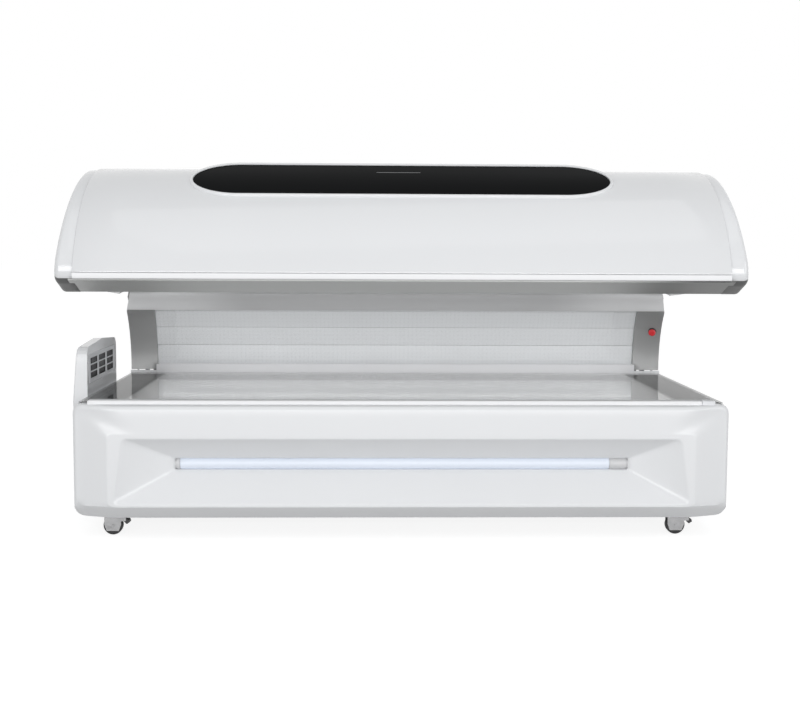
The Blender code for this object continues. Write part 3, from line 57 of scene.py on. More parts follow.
SIDES = (("left", -1), ("right", 1))

# Edges: the angle from which one shows as sharp, and the rounding of copied solids
SHARP_ANGLE = 35.0
FACET_SHARP_ANGLE = 5.0
SOLID_SHARP_ANGLE = 32.0
SOLID_FLAT_ANGLE = 0.5
MERGE_DISTANCE = 1e-5
BEVEL_STEPS = 3
ARM_EDGE = 0.0012
FORK_EDGE = 0.0006

# Front panel
BASE_HALF = 1.047
BASE_BOTTOM = 0.071
BASE_TOP = 0.4335
PANEL_DEPTH = 0.080
PANEL_WALL = 0.0025
PANEL_CORNER = 0.030
PANEL_EDGE = 0.014
PANEL_EDGE_STEPS = 9
PANEL_END_FLAT = 0.932
PANEL_END_SWEEP = 0.040
PANEL_UNDERCUT = 0.042
PANEL_UNDERCUT_DEPTH = 0.045
FOLD_TOP = 0.346
FOLD_BOTTOM = 0.1155
FOLD_CORNER = 0.016
RECESS_TOP = 0.332
RECESS_BOTTOM = 0.119
RECESS_TOP_HALF = 0.890
RECESS_BOTTOM_HALF = 0.920
RECESS_CORNER = 0.022
RECESS_DEPTH = 0.075
SLOT_HALF = 0.735
SLOT_BOTTOM = 0.216
SLOT_HEIGHT = 0.042
SLOT_CORNER = 0.009
SLOT_DEPTH = 0.044
RING_EDGE_STEPS = (72, 10, 72, 10)
RING_CORNER_STEPS = 9

# Shares of the way between the panel's main loops
FACE_SHARES = (0.25, 0.5, 0.75, 0.95)
FOLD_SHARES = (0.1, 0.9)
MOUTH_ROUND = 0.05
MOUTH_SHARES = (0.0, 0.02)
SLOPE_SHARES = (MOUTH_ROUND, 0.3, 0.6, 0.9, 0.985)
SLOT_SHARES = (0.05, 0.5, 1.0)

# Lamp in the recess; the cap's outer end is (distance from the end, depth below the cap's radius)
LAMP_RADIUS = 0.0195
LAMP_EASE = 0.002
LAMP_STEPS = 48
LAMP_CAP_LEFT = 0.018
LAMP_CAP_RIGHT = 0.062
LAMP_CAP_RADIUS = 0.0200
LAMP_CAP_BORE = 0.006
LAMP_CAP_EASE = 0.001
LAMP_CAP_OUTER_END = ((0.0075, 0.0), (0.0070, 0.002), (0.0055, 0.002), (0.0050, 0.0),
                      (LAMP_CAP_EASE, 0.0), (0.0, LAMP_CAP_EASE))

# Canopy shell; its seam with the caps shows further in than the solids' seam.
# Its eased end is (distance in from the shown seam, inset)
OPEN_NOW = 20.0
CANOPY_HALF = 1.100
CAP_SEAM = 1.045
SHOWN_SEAM = 1.030
SHELL_CENTRE = np.array([0.476, 0.681])
SHELL_RADIUS = 0.518
SHELL_FRONT_TURN = 160.3
SHELL_BACK_TURN = 40.0
SHELL_BACK_RUN = 0.290
SHELL_RIM = np.array([0.016, -0.037])
SHELL_RIM_SHARE = 0.3
SHELL_BEND = 0.010
SHELL_BEND_CLEAR = 0.012
SHELL_ARC_STEPS = 121
SHELL_RUN_STEPS = 14
SHELL_BEND_STEPS = 6
SHELL_LAP = np.array([0.0003, -0.0015])
SHELL_END_EASE = ((0.0, 0.0016), (0.0005, 0.0006), (0.0016, 0.0))
SHELL_STATION_HALF = 0.9
SHELL_STATIONS = 13
SHELL_END_BAND = 0.050
SHELL_END_IN = 0.002

# Canopy caps; the eased edge is (distance out from the seam, inset)
CAP_STEP = 0.006
CAP_ROUND = 0.024
CAP_ROUND_STEPS = 13
CAP_NOSE = 0.045
CAP_NOSE_STEPS = 24
CAP_LEAN = 0.062
CAP_SHELL_SKIP = 6
CAP_UNDER_STEPS = 6
CAP_SEAM_EASE = ((GAP, 0.0020), (0.0008, 0.0006), (0.0024, 0.0))
CAP_SIDE_SHARES = (0.1, 0.4, 0.7, 1.0)
# The sole, a dark skin of painted shade on the cap's underside: how far up the nose it runs and how far it
# stands out
CAP_SOLE_BEND = 10
CAP_SOLE_PROUD = 0.0006

# Front rail and lip
FRONT_RAIL_HEIGHT = 0.027
FRONT_RAIL_DEPTH = 0.020
FRONT_RAIL_ROUND = 0.003
FRONT_RAIL_ROUND_STEPS = 7
FRONT_RAIL_STATIONS = 9
LIP_BACK = 0.012
LIP_RUN = 0.118

# Console; its profiles are (distance out from the oval, rise above its plane)
CONSOLE_PLACE = np.array([0.0, 0.2543 + FRONT_Y, 1.1563])
CONSOLE_TILT = math.radians(31.3)
CONSOLE_SLOPE = np.array([0, math.cos(CONSOLE_TILT), math.sin(CONSOLE_TILT)])
CONSOLE_NORMAL = np.array([0, -math.sin(CONSOLE_TILT), math.cos(CONSOLE_TILT)])
CONSOLE_STRAIGHT = 0.532
CONSOLE_END = 0.158
CONSOLE_HALF = 0.100
CONSOLE_STEPS = 48
CONSOLE_RIM = 0.011
CONSOLE_GLASS = 0.004
CONSOLE_BODY = 0.048
CONSOLE_SEAT = -0.008
RIM_PROFILE = ((GAP, CONSOLE_SEAT), (GAP, 0.0010), (0.0009, 0.0028), (0.0026, 0.0038), (0.0055, 0.0040),
               (0.0082, 0.0033), (0.0100, 0.0014), (CONSOLE_RIM, -0.0020), (CONSOLE_RIM, -CONSOLE_BODY),
               (CONSOLE_RIM - SKIN, -CONSOLE_BODY), (CONSOLE_RIM - SKIN, CONSOLE_SEAT))
PLATE_PROFILE = ((0, -CONSOLE_GLASS), (0, -0.0008), (-0.0003, -0.0002), (-0.0012, 0.0))
STATUS_X = -0.012
STATUS_UP = 0.050
STATUS_HALF = 0.072
STATUS_ROUND = 0.0016
STATUS_STEPS = 9
STATUS_RISES = (0.00005, 0.0003)

# Light boards
ARCH_CENTRE = np.array([0.646, 0.469])
ARCH_RADIUS = 0.370
ARCH_TURN = 70.0
ARCH_FLAT = 0.271
ARCH_FACETS = 6
ARCH_FRONT_END = 134.0
BOARD = 0.003
BOARD_HALF = 0.942
BOARD_SKIRT = 0.016
BOARD_GAP = 0.0006
BOARD_UV_START = 1.0
WALL_BOARDS = ("lower", "middle", "upper")
BED_UV_START = 2
BED_GRID = (7, 5)

# Thin dark sheets in the base: painted shade behind the vent slots, painted reflection under the sheet's
# ends
BORDER_IN = 0.900
BORDER_INSET = 0.001
BORDER_GAP = 0.0001
BORDER_GRID = (3, 9)
VENT_SCREEN_X = -1.0512
VENT_SCREEN_WALL = 0.0004
VENT_SCREEN_GRID = (7, 5)

# Casters; a wheel's face is (distance in from the face, radius)
CASTERS = ("front_left", "front_right", "rear_left", "rear_right")
WHEEL_RADIUS = 0.0313
WHEEL_WIDTH = 0.026
WHEEL_STEPS = 56
AXLE_RADIUS = 0.004
WHEEL_FACE = ((0.0, AXLE_RADIUS + GAP), (0.0, 0.019), (0.0015, 0.0195), (0.0015, 0.0215), (0.0, 0.0222),
              (0.0, 0.0278), (0.0012, 0.0298), (0.004, 0.0311), (0.011, WHEEL_RADIUS))

# Camera
CAMERA_PLACE = (-0.1129, -4.3481, 0.9509)
CAMERA_YAW = 1.518
CAMERA_PITCH = 5.085
CAMERA_ROLL = 0.279
CAMERA_LENS = 54.80
CAMERA_SENSOR = 36

# Studio; a softbox is name, place, target, size and watts
FLOOR_REACH = 40.0
FLOOR_GREY = (0.36, 0.36, 0.36, 1)
FLOOR_GLOW = 0.86
STUDIO_LIGHT = 0.42
STUDIO_TINT = (0.98, 0.99, 1, 1)
WHITE = (1, 1, 1, 1)
SOFTBOXES = (
    ("front_softbox", (-0.4, -6.0, 1.0), (0, 0, 0.75), (9.0, 2.0), 240),
    ("side_softbox", (4.0, -2.2, 1.4), (0, 0, 0.7), (2.0, 1.6), 16),
    ("top_softbox", (0.3, -1.0, 4.2), (0, 0, 0.5), (4.0, 2.5), 15),
)

# Patterns in the finishes
PLAIN_GREY = (0.8, 0.8, 0.8, 1)
CLOUD_DETAIL = 3.0
GRAIN_DETAIL = 2.0
BRUSH_DETAIL = 4.0
BRUSH_STRETCH = (2.0, 700.0, 700.0)
# Distances along X over which the brushed finishes' painted shade and light ramps to the ends' values
PAINTED_END_SHADE_RUN = (0.55, 0.95)
LENS_STEEPNESS = 4.0
SHEET_EASED = 0.45


def place_camera():
    """The camera at its place, turned by its yaw, pitch and roll in that order."""
    data = bpy.data.cameras.new("photo_camera")
    data.sensor_width = CAMERA_SENSOR
    data.lens = CAMERA_LENS
    camera = bpy.data.objects.new("photo_camera", data)
    bpy.context.scene.collection.objects.link(camera)
    turn = Matrix.Rotation(math.radians(-CAMERA_YAW), 4, "Z")
    turn @= Matrix.Rotation(math.radians(90 - CAMERA_PITCH), 4, "X")
    turn @= Matrix.Rotation(math.radians(CAMERA_ROLL), 4, "Z")
    camera.matrix_world = Matrix.Translation(CAMERA_PLACE) @ turn
    bpy.context.scene.camera = camera


place_camera()


# Shader groups

def wired(tree, kind, **values):
    """A new node of a kind, with its settings."""
    node = tree.nodes.new(kind)
    for name, value in values.items():
        setattr(node, name, value)
    return node


def feed(tree, given, socket):
    """Gives a socket a number, or joins an output to it."""
    if isinstance(given, (int, float)):
        socket.default_value = given
    else:
        tree.links.new(given, socket)


def maths(tree, operation, first, second):
    """A Math node whose inputs are sockets or numbers; returns its output."""
    node = wired(tree, "ShaderNodeMath", operation=operation)
    feed(tree, first, node.inputs[0])
    feed(tree, second, node.inputs[1])
    return node.outputs[0]


def noise(tree, vector, scale, detail, stretch=None):
    """Noise at a place, drawn out along the axes whose stretch is small; returns its output."""
    node = wired(tree, "ShaderNodeTexNoise")
    node.inputs["Detail"].default_value = detail
    feed(tree, scale, node.inputs["Scale"])
    if stretch:
        mapping = wired(tree, "ShaderNodeMapping")
        mapping.inputs["Scale"].default_value = stretch
        tree.links.new(vector, mapping.inputs["Vector"])
        vector = mapping.outputs[0]
    tree.links.new(vector, node.inputs["Vector"])
    return node.outputs[0]


def shaded(tree, colour, factor):
    """A colour multiplied by a grey factor."""
    mix = wired(tree, "ShaderNodeMix", data_type="RGBA", blend_type="MULTIPLY")
    mix.inputs["Factor"].default_value = 1.0
    tree.links.new(colour, mix.inputs[6])
    tree.links.new(factor, mix.inputs[7])
    return mix.outputs[2]


def darkened(tree, pattern, depth):
    """1 - pattern x depth."""
    return maths(tree, "SUBTRACT", 1.0, maths(tree, "MULTIPLY", pattern, depth))


def swung(tree, pattern, given):
    """Roughness + spread x (pattern - 0.5)."""
    swing = maths(tree, "MULTIPLY", maths(tree, "SUBTRACT", pattern, 0.5), given.outputs["Roughness Spread"])
    return maths(tree, "ADD", given.outputs["Roughness"], swing)


def new_group(name, numbers, results):
    """A shader group with a colour and numbers in, a colour and values out; returns it and both its ends."""
    tree = bpy.data.node_groups.new(name, "ShaderNodeTree")
    sockets = tree.interface
    sockets.new_socket("Colour", in_out="INPUT", socket_type="NodeSocketColor").default_value = PLAIN_GREY
    for key, value in numbers.items():
        sockets.new_socket(key, in_out="INPUT", socket_type="NodeSocketFloat").default_value = value
    sockets.new_socket("Colour", in_out="OUTPUT", socket_type="NodeSocketColor")
    for key in results:
        sockets.new_socket(key, in_out="OUTPUT", socket_type="NodeSocketFloat")
    return tree, wired(tree, "NodeGroupInput"), wired(tree, "NodeGroupOutput")


def make_grain_group():
    """Cloud and grain: the cloud darkens the colour and swings the roughness, the grain is the height."""
    numbers = {"Cloud Scale": 3.0, "Cloud Depth": 0.03, "Grain Scale": 900.0, "Roughness": 0.3,
               "Roughness Spread": 0.1}
    tree, given, out = new_group("cloud_and_grain", numbers, ("Roughness", "Height"))
    place = wired(tree, "ShaderNodeTexCoord").outputs["Object"]
    cloud = noise(tree, place, given.outputs["Cloud Scale"], CLOUD_DETAIL)
    grain = noise(tree, place, given.outputs["Grain Scale"], GRAIN_DETAIL)
    shade = darkened(tree, cloud, given.outputs["Cloud Depth"])
    tree.links.new(shaded(tree, given.outputs["Colour"], shade), out.inputs["Colour"])
    tree.links.new(swung(tree, cloud, given), out.inputs["Roughness"])
    tree.links.new(grain, out.inputs["Height"])
    return tree


def make_brush_and_end_shade_group():
    """Brushed metal: noise drawn out along X, by the stretch's small first value.

    It goes into colour, roughness and height. On top of the lines, a painted shade and light goes from the
    middle's value to the ends' values between two distances along X: the product of the square roots of the
    left and the right side's ramp.
    """
    numbers = {"Line Depth": 0.1, "Middle Shade": 1.0, "Left Shade": 1.0, "Right Shade": 1.0,
               "Roughness": 0.3, "Roughness Spread": 0.1}
    tree, given, out = new_group("brushed_lines_and_painted_end_shade", numbers, ("Roughness", "Height"))
    place = wired(tree, "ShaderNodeTexCoord").outputs["Object"]
    lines = noise(tree, place, 1.0, BRUSH_DETAIL, BRUSH_STRETCH)
    shade = darkened(tree, lines, given.outputs["Line Depth"])
    split = wired(tree, "ShaderNodeSeparateXYZ")
    tree.links.new(place, split.inputs[0])
    # Painted shade and light: each ramp darkens or lightens the colour towards one end
    for side, end in ((-1.0, "Left Shade"), (1.0, "Right Shade")):
        ramp = wired(tree, "ShaderNodeMapRange", interpolation_type="SMOOTHSTEP")
        tree.links.new(maths(tree, "MULTIPLY", split.outputs[0], side), ramp.inputs["Value"])
        ramp.inputs["From Min"].default_value, ramp.inputs["From Max"].default_value = PAINTED_END_SHADE_RUN
        tree.links.new(given.outputs["Middle Shade"], ramp.inputs["To Min"])
        tree.links.new(given.outputs[end], ramp.inputs["To Max"])
        shade = maths(tree, "MULTIPLY", shade, maths(tree, "SQRT", ramp.outputs[0], 0.0))
    tree.links.new(shaded(tree, given.outputs["Colour"], shade), out.inputs["Colour"])
    tree.links.new(swung(tree, lines, given), out.inputs["Roughness"])
    tree.links.new(lines, out.inputs["Height"])
    return tree


def make_lens_group():
    """Rows of small round lenses, from the UV map in metres: distance to the nearest grid point."""
    numbers = {"Pitch": 0.0165, "Lens Radius": 0.0032, "Lens Depth": 0.1}
    tree, given, out = new_group("lens_rows", numbers, ("Height",))
    split = wired(tree, "ShaderNodeSeparateXYZ")
    tree.links.new(wired(tree, "ShaderNodeTexCoord").outputs["UV"], split.inputs[0])
    squares = []
    for side in split.outputs[:2]:
        cell = maths(tree, "DIVIDE", side, given.outputs["Pitch"])
        off = maths(tree, "SUBTRACT", maths(tree, "FRACT", cell, 0.0), 0.5)
        squares.append(maths(tree, "POWER", maths(tree, "MULTIPLY", off, given.outputs["Pitch"]), 2.0))
    away = maths(tree, "SQRT", maths(tree, "ADD", *squares), 0.0)
    share = maths(tree, "DIVIDE", away, given.outputs["Lens Radius"])
    dome = maths(tree, "SUBTRACT", 1.0, maths(tree, "MINIMUM", share, 1.0))
    soft = maths(tree, "MINIMUM", maths(tree, "MULTIPLY", dome, LENS_STEEPNESS), 1.0)
    shade = darkened(tree, soft, given.outputs["Lens Depth"])
    tree.links.new(shaded(tree, given.outputs["Colour"], shade), out.inputs["Colour"])
    tree.links.new(soft, out.inputs["Height"])
    return tree


GRAIN = make_grain_group()
BRUSH_AND_END_SHADE = make_brush_and_end_shade_group()
LENS = make_lens_group()


# Finishes

def finish(name, colour, group, values, bump=None, **sockets):
    """A Principled material whose colour, roughness and normal come from one of the groups above.

    The bump is (strength, distance).
    """
    made = bpy.data.materials.new(name)
    made.use_nodes = True
    tree = made.node_tree
    shader = tree.nodes["Principled BSDF"]
    effect = wired(tree, "ShaderNodeGroup", node_tree=group)
    effect.inputs["Colour"].default_value = (*colour, 1)
    for key, value in values.items():
        effect.inputs[key].default_value = value
    tree.links.new(effect.outputs["Colour"], shader.inputs["Base Color"])
    if "Roughness" in effect.outputs:
        tree.links.new(effect.outputs["Roughness"], shader.inputs["Roughness"])
    if bump:
        raised = wired(tree, "ShaderNodeBump")
        raised.inputs["Strength"].default_value, raised.inputs["Distance"].default_value = bump
        tree.links.new(effect.outputs["Height"], raised.inputs["Height"])
        tree.links.new(raised.outputs["Normal"], shader.inputs["Normal"])
    for key, value in sockets.items():
        shader.inputs[key.replace("_", " ")].default_value = value
    made.diffuse_color = (*colour, 1)
    return made


def grained(name, colour, cloud, grain, rough, bump=None, **sockets):
    """A finish of cloud and grain: cloud is (scale, depth), grain a scale, rough is (roughness, spread)."""
    values = {"Cloud Scale": cloud[0], "Cloud Depth": cloud[1], "Grain Scale": grain, "Roughness": rough[0],
              "Roughness Spread": rough[1]}
    return finish(name, colour, GRAIN, values, bump, **sockets)


def brushed(name, colour, lines, rough, bump, painted_shades=(1.0, 1.0, 1.0), **sockets):
    """A brushed finish: lines a depth, rough (roughness, spread), painted shade and light (middle, left,
    right).
    """
    middle, left, right = painted_shades
    values = {"Line Depth": lines, "Middle Shade": middle, "Left Shade": left, "Right Shade": right,
              "Roughness": rough[0], "Roughness Spread": rough[1]}
    return finish(name, colour, BRUSH_AND_END_SHADE, values, bump, **sockets)


WHITE_GLOSS = grained("white_gloss", (0.80, 0.81, 0.825), cloud=(2.0, 0.03), grain=420.0, rough=(0.17, 0.06),
                      bump=(0.03, 0.0003), Coat_Weight=0.5, Coat_Roughness=0.04)
PANEL_WHITE = grained("panel_white", (0.81, 0.82, 0.835), cloud=(2.0, 0.03), grain=420.0, rough=(0.30, 0.08),
                      bump=(0.03, 0.0003), Coat_Weight=0.15, Coat_Roughness=0.12)
TRIM_WHITE = grained("trim_white", (0.88, 0.885, 0.895), cloud=(2.5, 0.03), grain=900.0, rough=(0.60, 0.10),
                     bump=(0.10, 0.0002), Specular_IOR_Level=0.15)
SILL_WHITE = grained("sill_white", (0.78, 0.785, 0.80), cloud=(2.5, 0.03), grain=900.0, rough=(0.40, 0.10),
                     bump=(0.10, 0.0002))
WHITE_SATIN = grained("white_satin", (0.76, 0.77, 0.79), cloud=(3.0, 0.04), grain=1400.0, rough=(0.42, 0.12),
                      bump=(0.10, 0.0002))
WHITE_STEEL = grained("white_powder_coat", (0.76, 0.77, 0.78), cloud=(2.5, 0.05), grain=900.0,
                      rough=(0.38, 0.10), bump=(0.22, 0.0003))
# Painted shade and reflection: dark grey for the caps' shaded underside and the dark ends of the lying sheet
PAINTED_SHADE_AND_REFLECTION_GREY = grained("painted_shade_and_reflection_grey", (0.10, 0.101, 0.101), cloud=(5.0, 0.15), grain=1000.0, rough=(0.45, 0.12),
                    bump=(0.12, 0.0002))
GREY_SATIN = grained("grey_satin", (0.33, 0.34, 0.36), cloud=(4.0, 0.08), grain=1200.0, rough=(0.40, 0.12),
                     bump=(0.12, 0.0002))
CAP_GREY = grained("lamp_cap_grey", (0.66, 0.665, 0.675), cloud=(20.0, 0.1), grain=1200.0,
                   rough=(0.38, 0.12), bump=(0.10, 0.0002))
BLACK_PLASTIC = grained("black_plastic", (0.022, 0.022, 0.024), cloud=(6.0, 0.25), grain=1500.0,
                        rough=(0.42, 0.15), bump=(0.15, 0.0002))
TRAY_GREY = grained("tray_grey", (0.105, 0.108, 0.112), cloud=(5.0, 0.15), grain=900.0, rough=(0.35, 0.15),
                    bump=(0.10, 0.0002))
CONSOLE_BLACK = grained("console_black", (0.008, 0.0085, 0.009), cloud=(3.0, 0.2), grain=600.0,
                        rough=(0.16, 0.05), Specular_IOR_Level=0.012)
STATUS_GREY = grained("status_line_grey", (0.16, 0.165, 0.17), cloud=(40.0, 0.2), grain=900.0,
                      rough=(0.4, 0.1))
POLISHED = grained("polished_steel", (0.62, 0.63, 0.64), cloud=(5.0, 0.12), grain=500.0, rough=(0.14, 0.10),
                   bump=(0.02, 0.0002), Metallic=1.0)
ALUMINIUM = brushed("satin_aluminium", (0.74, 0.75, 0.76), lines=0.12, rough=(0.30, 0.14),
                    bump=(0.05, 0.0001), Metallic=1.0)
FORK_METAL = grained("fork_metal", (0.33, 0.33, 0.335), cloud=(40.0, 0.35), grain=700.0, rough=(0.42, 0.2),
                     bump=(0.10, 0.0003), Metallic=1.0)
ARM_METAL = grained("arm_metal", (0.40, 0.403, 0.403), cloud=(7.0, 0.14), grain=500.0, rough=(0.42, 0.12),
                    bump=(0.03, 0.0002), Metallic=0.4)
# Painted shade and light: darker in the middle for the shade under the lip, lighter at the ends for the
# light reaching them
RAIL_SATIN_PAINTED_END_SHADE = brushed("rail_satin_painted_end_shade", (0.94, 0.945, 0.95), lines=0.08, rough=(0.36, 0.12), bump=(0.05, 0.0001),
                     painted_shades=(0.66, 1.6, 1.6))
RAIL_WHITE = brushed("rail_white", (0.86, 0.865, 0.88), lines=0.04, rough=(0.35, 0.10), bump=(0.04, 0.0001))
# Painted shade: darker towards both ends of the lip, nearly black at the right end
LIP_GREY_PAINTED_END_SHADE = brushed("lip_grey_painted_end_shade", (0.66, 0.67, 0.66), lines=0.12, rough=(0.36, 0.12), bump=(0.05, 0.0001),
                   painted_shades=(1.0, 0.6, 0.05))
FRAME_STEEL = grained("frame_powder_coat", (0.11, 0.115, 0.12), cloud=(5.0, 0.12), grain=800.0,
                      rough=(0.48, 0.14), bump=(0.25, 0.0003))
LAMP = grained("lamp_diffuser", (0.76, 0.81, 0.90), cloud=(4.0, 0.03), grain=700.0, rough=(0.35, 0.1),
               bump=(0.03, 0.0002), Emission_Color=(0.80, 0.90, 1.0, 1), Emission_Strength=0.06)
SIGNAL_RED = grained("signal_red", (0.80, 0.045, 0.055), cloud=(30.0, 0.1), grain=1500.0, rough=(0.25, 0.08),
                     bump=(0.04, 0.0001), Coat_Weight=0.4)
RUBBER = grained("tread_rubber", (0.014, 0.014, 0.015), cloud=(60.0, 0.4), grain=1800.0, rough=(0.62, 0.2),
                 bump=(0.3, 0.0003))
CLEAR = grained("clear_acrylic", (0.97, 0.985, 0.985), cloud=(3.0, 0.01), grain=500.0, rough=(0.02, 0.02),
                Transmission_Weight=1.0, IOR=1.49)
SHEET_CLEAR = grained("coated_acrylic", (0.97, 0.985, 0.985), cloud=(3.0, 0.01), grain=500.0,
                      rough=(0.03, 0.02), Transmission_Weight=1.0, IOR=1.49)
LIGHT_BOARD = finish("light_board", (0.79, 0.795, 0.81), LENS, {"Lens Depth": 0.10}, (0.25, 0.0008),
                     Roughness=0.45, Emission_Color=WHITE, Emission_Strength=0.035)
BED_BOARD = finish("bed_light_board", (0.88, 0.885, 0.90), LENS, {"Lens Depth": 0.08}, (0.25, 0.0008),
                   Roughness=0.45, Emission_Color=WHITE, Emission_Strength=0.20)


def mixed_shader(tree, factor, first, second):
    """A Mix Shader node between two shaders' outputs; returns its output."""
    mix = wired(tree, "ShaderNodeMixShader")
    feed(tree, factor, mix.inputs[0])
    tree.links.new(first, mix.inputs[1])
    tree.links.new(second, mix.inputs[2])
    return mix.outputs[0]


def let_light_pass(material, eased=0.0):
    """Rays from lamps and between matt surfaces go straight through a clear finish to what is behind it.

    A thin coating takes an eased share of the sheet's mirror image away: plain transparency mixed in evenly.
    """
    tree = material.node_tree
    surface = tree.nodes["Principled BSDF"].outputs[0]
    straight = wired(tree, "ShaderNodeBsdfTransparent").outputs[0]
    if eased:
        surface = mixed_shader(tree, eased, surface, straight)
    path = wired(tree, "ShaderNodeLightPath")
    passing = maths(tree, "MAXIMUM", path.outputs["Is Shadow Ray"], path.outputs["Is Diffuse Ray"])
    output = tree.nodes["Material Output"].inputs["Surface"]
    tree.links.new(mixed_shader(tree, passing, surface, straight), output)


let_light_pass(CLEAR)
let_light_pass(SHEET_CLEAR, SHEET_EASED)


# Points and lines

def at(x, side_points):
    """Rows of (x, depth, height) turned to world points."""
    side_points = np.asarray(side_points, dtype=float)
    x = np.broadcast_to(x, side_points.shape[:-1])
    return np.stack([x, FRONT_Y + side_points[..., 0], side_points[..., 1]], -1)


def polar(centre, radius, turns):
    """Points centre + radius (cos, sin) at angles in degrees from straight back, turning up."""
    angle = np.radians(np.asarray(turns, dtype=float))
    return np.asarray(centre) + radius * np.stack([np.cos(angle), np.sin(angle)], -1)


def curve_through(start, corner, end, steps):
    """Quadratic curve (1-t)^2 start + 2t(1-t) corner + t^2 end."""
    t = np.linspace(0, 1, steps)[:, None]
    return (1 - t) ** 2 * np.asarray(start) + 2 * t * (1 - t) * np.asarray(corner) + t ** 2 * np.asarray(end)


def moved_left(path, distance):
    """An open path of side points moved along its left-hand normals."""
    run = np.gradient(path, axis=0)
    normal = np.stack([-run[:, 1], run[:, 0]], -1)
    normal /= np.linalg.norm(normal, axis=1, keepdims=True)
    return path + normal * np.asarray(distance).reshape(-1, 1)


def circle(steps):
    """Cosines and sines of evenly spaced angles of a full turn."""
    turn = np.linspace(0, 4 * QUARTER, steps, endpoint=False)
    return np.cos(turn), np.sin(turn)


# Meshes from arrays

def grid_faces(rows, columns, wrap_rows=False, wrap_columns=False):
    """Quads of a grid of points, with either direction closed on itself."""
    r = np.arange(rows if wrap_rows else rows - 1)
    c = np.arange(columns if wrap_columns else columns - 1)
    a, b = np.meshgrid(r, c, indexing="ij")
    a2, b2 = (a + 1) % rows, (b + 1) % columns
    quads = np.stack([a * columns + b, a * columns + b2, a2 * columns + b2, a2 * columns + b], -1)
    return quads.reshape(-1, 4)


def add_object(name, data, sharp):
    """A mesh put into the scene, shaded smooth but for edges past an angle."""
    data.shade_smooth()
    data.set_sharp_from_angle(angle=math.radians(sharp))
    made = bpy.data.objects.new(name, data)
    bpy.context.scene.collection.objects.link(made)
    return made


def make_piece(name, points, faces, extra=(), uv=None, sharp=SHARP_ANGLE, outward=True):
    """A piece from an array of points, quads and a few larger faces.

    Normals are turned outwards on closed pieces.
    """
    data = bpy.data.meshes.new(name)
    faces = np.asarray(faces).tolist() + [list(face) for face in extra]
    data.from_pydata(np.asarray(points).reshape(-1, 3), [], faces)
    if uv is not None:
        loops = np.empty(len(data.loops), dtype=np.int32)
        data.loops.foreach_get("vertex_index", loops)
        layer = data.uv_layers.new(name="UVMap")
        layer.data.foreach_set("uv", np.asarray(uv).reshape(-1, 2)[loops].ravel())
    if outward:
        work = bmesh.new()
        work.from_mesh(data)
        bmesh.ops.recalc_face_normals(work, faces=work.faces)
        work.to_mesh(data)
        work.free()
    return add_object(name, data, sharp)


def dress(made, body, slot, material, *nodes):
    """Puts a finish on a piece, lets it ride on a body and hides the solids it stands for."""
    made.data.materials.append(material)
    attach(made, body)
    if nodes:
        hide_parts(*nodes)


def wall(made, thickness, even=True):
    """Gives an open skin its thickness, behind its outer face."""
    step = made.modifiers.new("wall", "SOLIDIFY")
    step.thickness = thickness
    step.offset = -1
    step.use_even_offset = even


def closed_sweep(name, rings):
    """Closed rings of points joined in order with flat ends."""
    rings = np.asarray(rings)
    count, around = rings.shape[:2]
    ends = [tuple(range(around))[::-1], tuple(range((count - 1) * around, count * around))]
    return make_piece(name, rings, grid_faces(count, around, wrap_columns=True), ends)


def looped_strip(name, loops, **options):
    """Loops that run along a line and back beside it, joined in order, with quads across both ends."""
    loops = np.asarray(loops)
    count, around = loops.shape[:2]
    k = np.arange(around // 2 - 1)
    first = np.stack([k, k + 1, around - 2 - k, around - 1 - k], -1)
    sides = grid_faces(count, around, wrap_columns=True)
    return make_piece(name, loops, np.concatenate([sides, first, first + (count - 1) * around]), **options)


def mirrored_skin(name, rows, side, thickness):
    """Side paths at their own x, joined in order; the right piece is the left one with x turned over."""
    points = np.asarray([at(side * x, line) for x, line in rows])
    faces = grid_faces(*points.shape[:2])
    made = make_piece(name, points, faces[:, ::-1] if side > 0 else faces, outward=False)
    wall(made, thickness)
    return made


def softened(node, name, width=0.0):
    """A copy of a solid with its doubles merged, shaded smooth, and its sharp edges rounded by a bevel."""
    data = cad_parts[node].data.copy()
    data.name = name
    data.materials.clear()
    work = bmesh.new()
    work.from_mesh(data)
    bmesh.ops.remove_doubles(work, verts=work.verts, dist=MERGE_DISTANCE)
    flat = math.radians(SOLID_FLAT_ANGLE)
    bmesh.ops.dissolve_limit(work, angle_limit=flat, verts=work.verts, edges=work.edges)
    work.to_mesh(data)
    work.free()
    made = add_object(name, data, SOLID_SHARP_ANGLE)
    if width:
        step = made.modifiers.new("edges", "BEVEL")
        step.width = width
        step.segments = BEVEL_STEPS
        step.limit_method = "ANGLE"
        step.angle_limit = math.radians(SOLID_SHARP_ANGLE)
        step.harden_normals = True
    return made


# Canopy

def shell_profile(radius):
    """The canopy's outline: an arc from the front crease over the top, a straight run, a turned-down rim."""
    bow = polar(SHELL_CENTRE, radius, np.linspace(SHELL_FRONT_TURN, SHELL_BACK_TURN, SHELL_ARC_STEPS))
    down = polar((0, 0), 1.0, [SHELL_BACK_TURN - 90])[0]
    foot = bow[-1] + down * SHELL_BACK_RUN
    rim = foot + SHELL_RIM
    run = bow[-1] + down * np.linspace(0, SHELL_BACK_RUN - SHELL_BEND_CLEAR, SHELL_RUN_STEPS)[1:, None]
    bend_end = foot + (rim - foot) * SHELL_RIM_SHARE
    bend = curve_through(foot - down * SHELL_BEND, foot, bend_end, SHELL_BEND_STEPS)
    return np.concatenate([bow, run, bend, rim[None]])


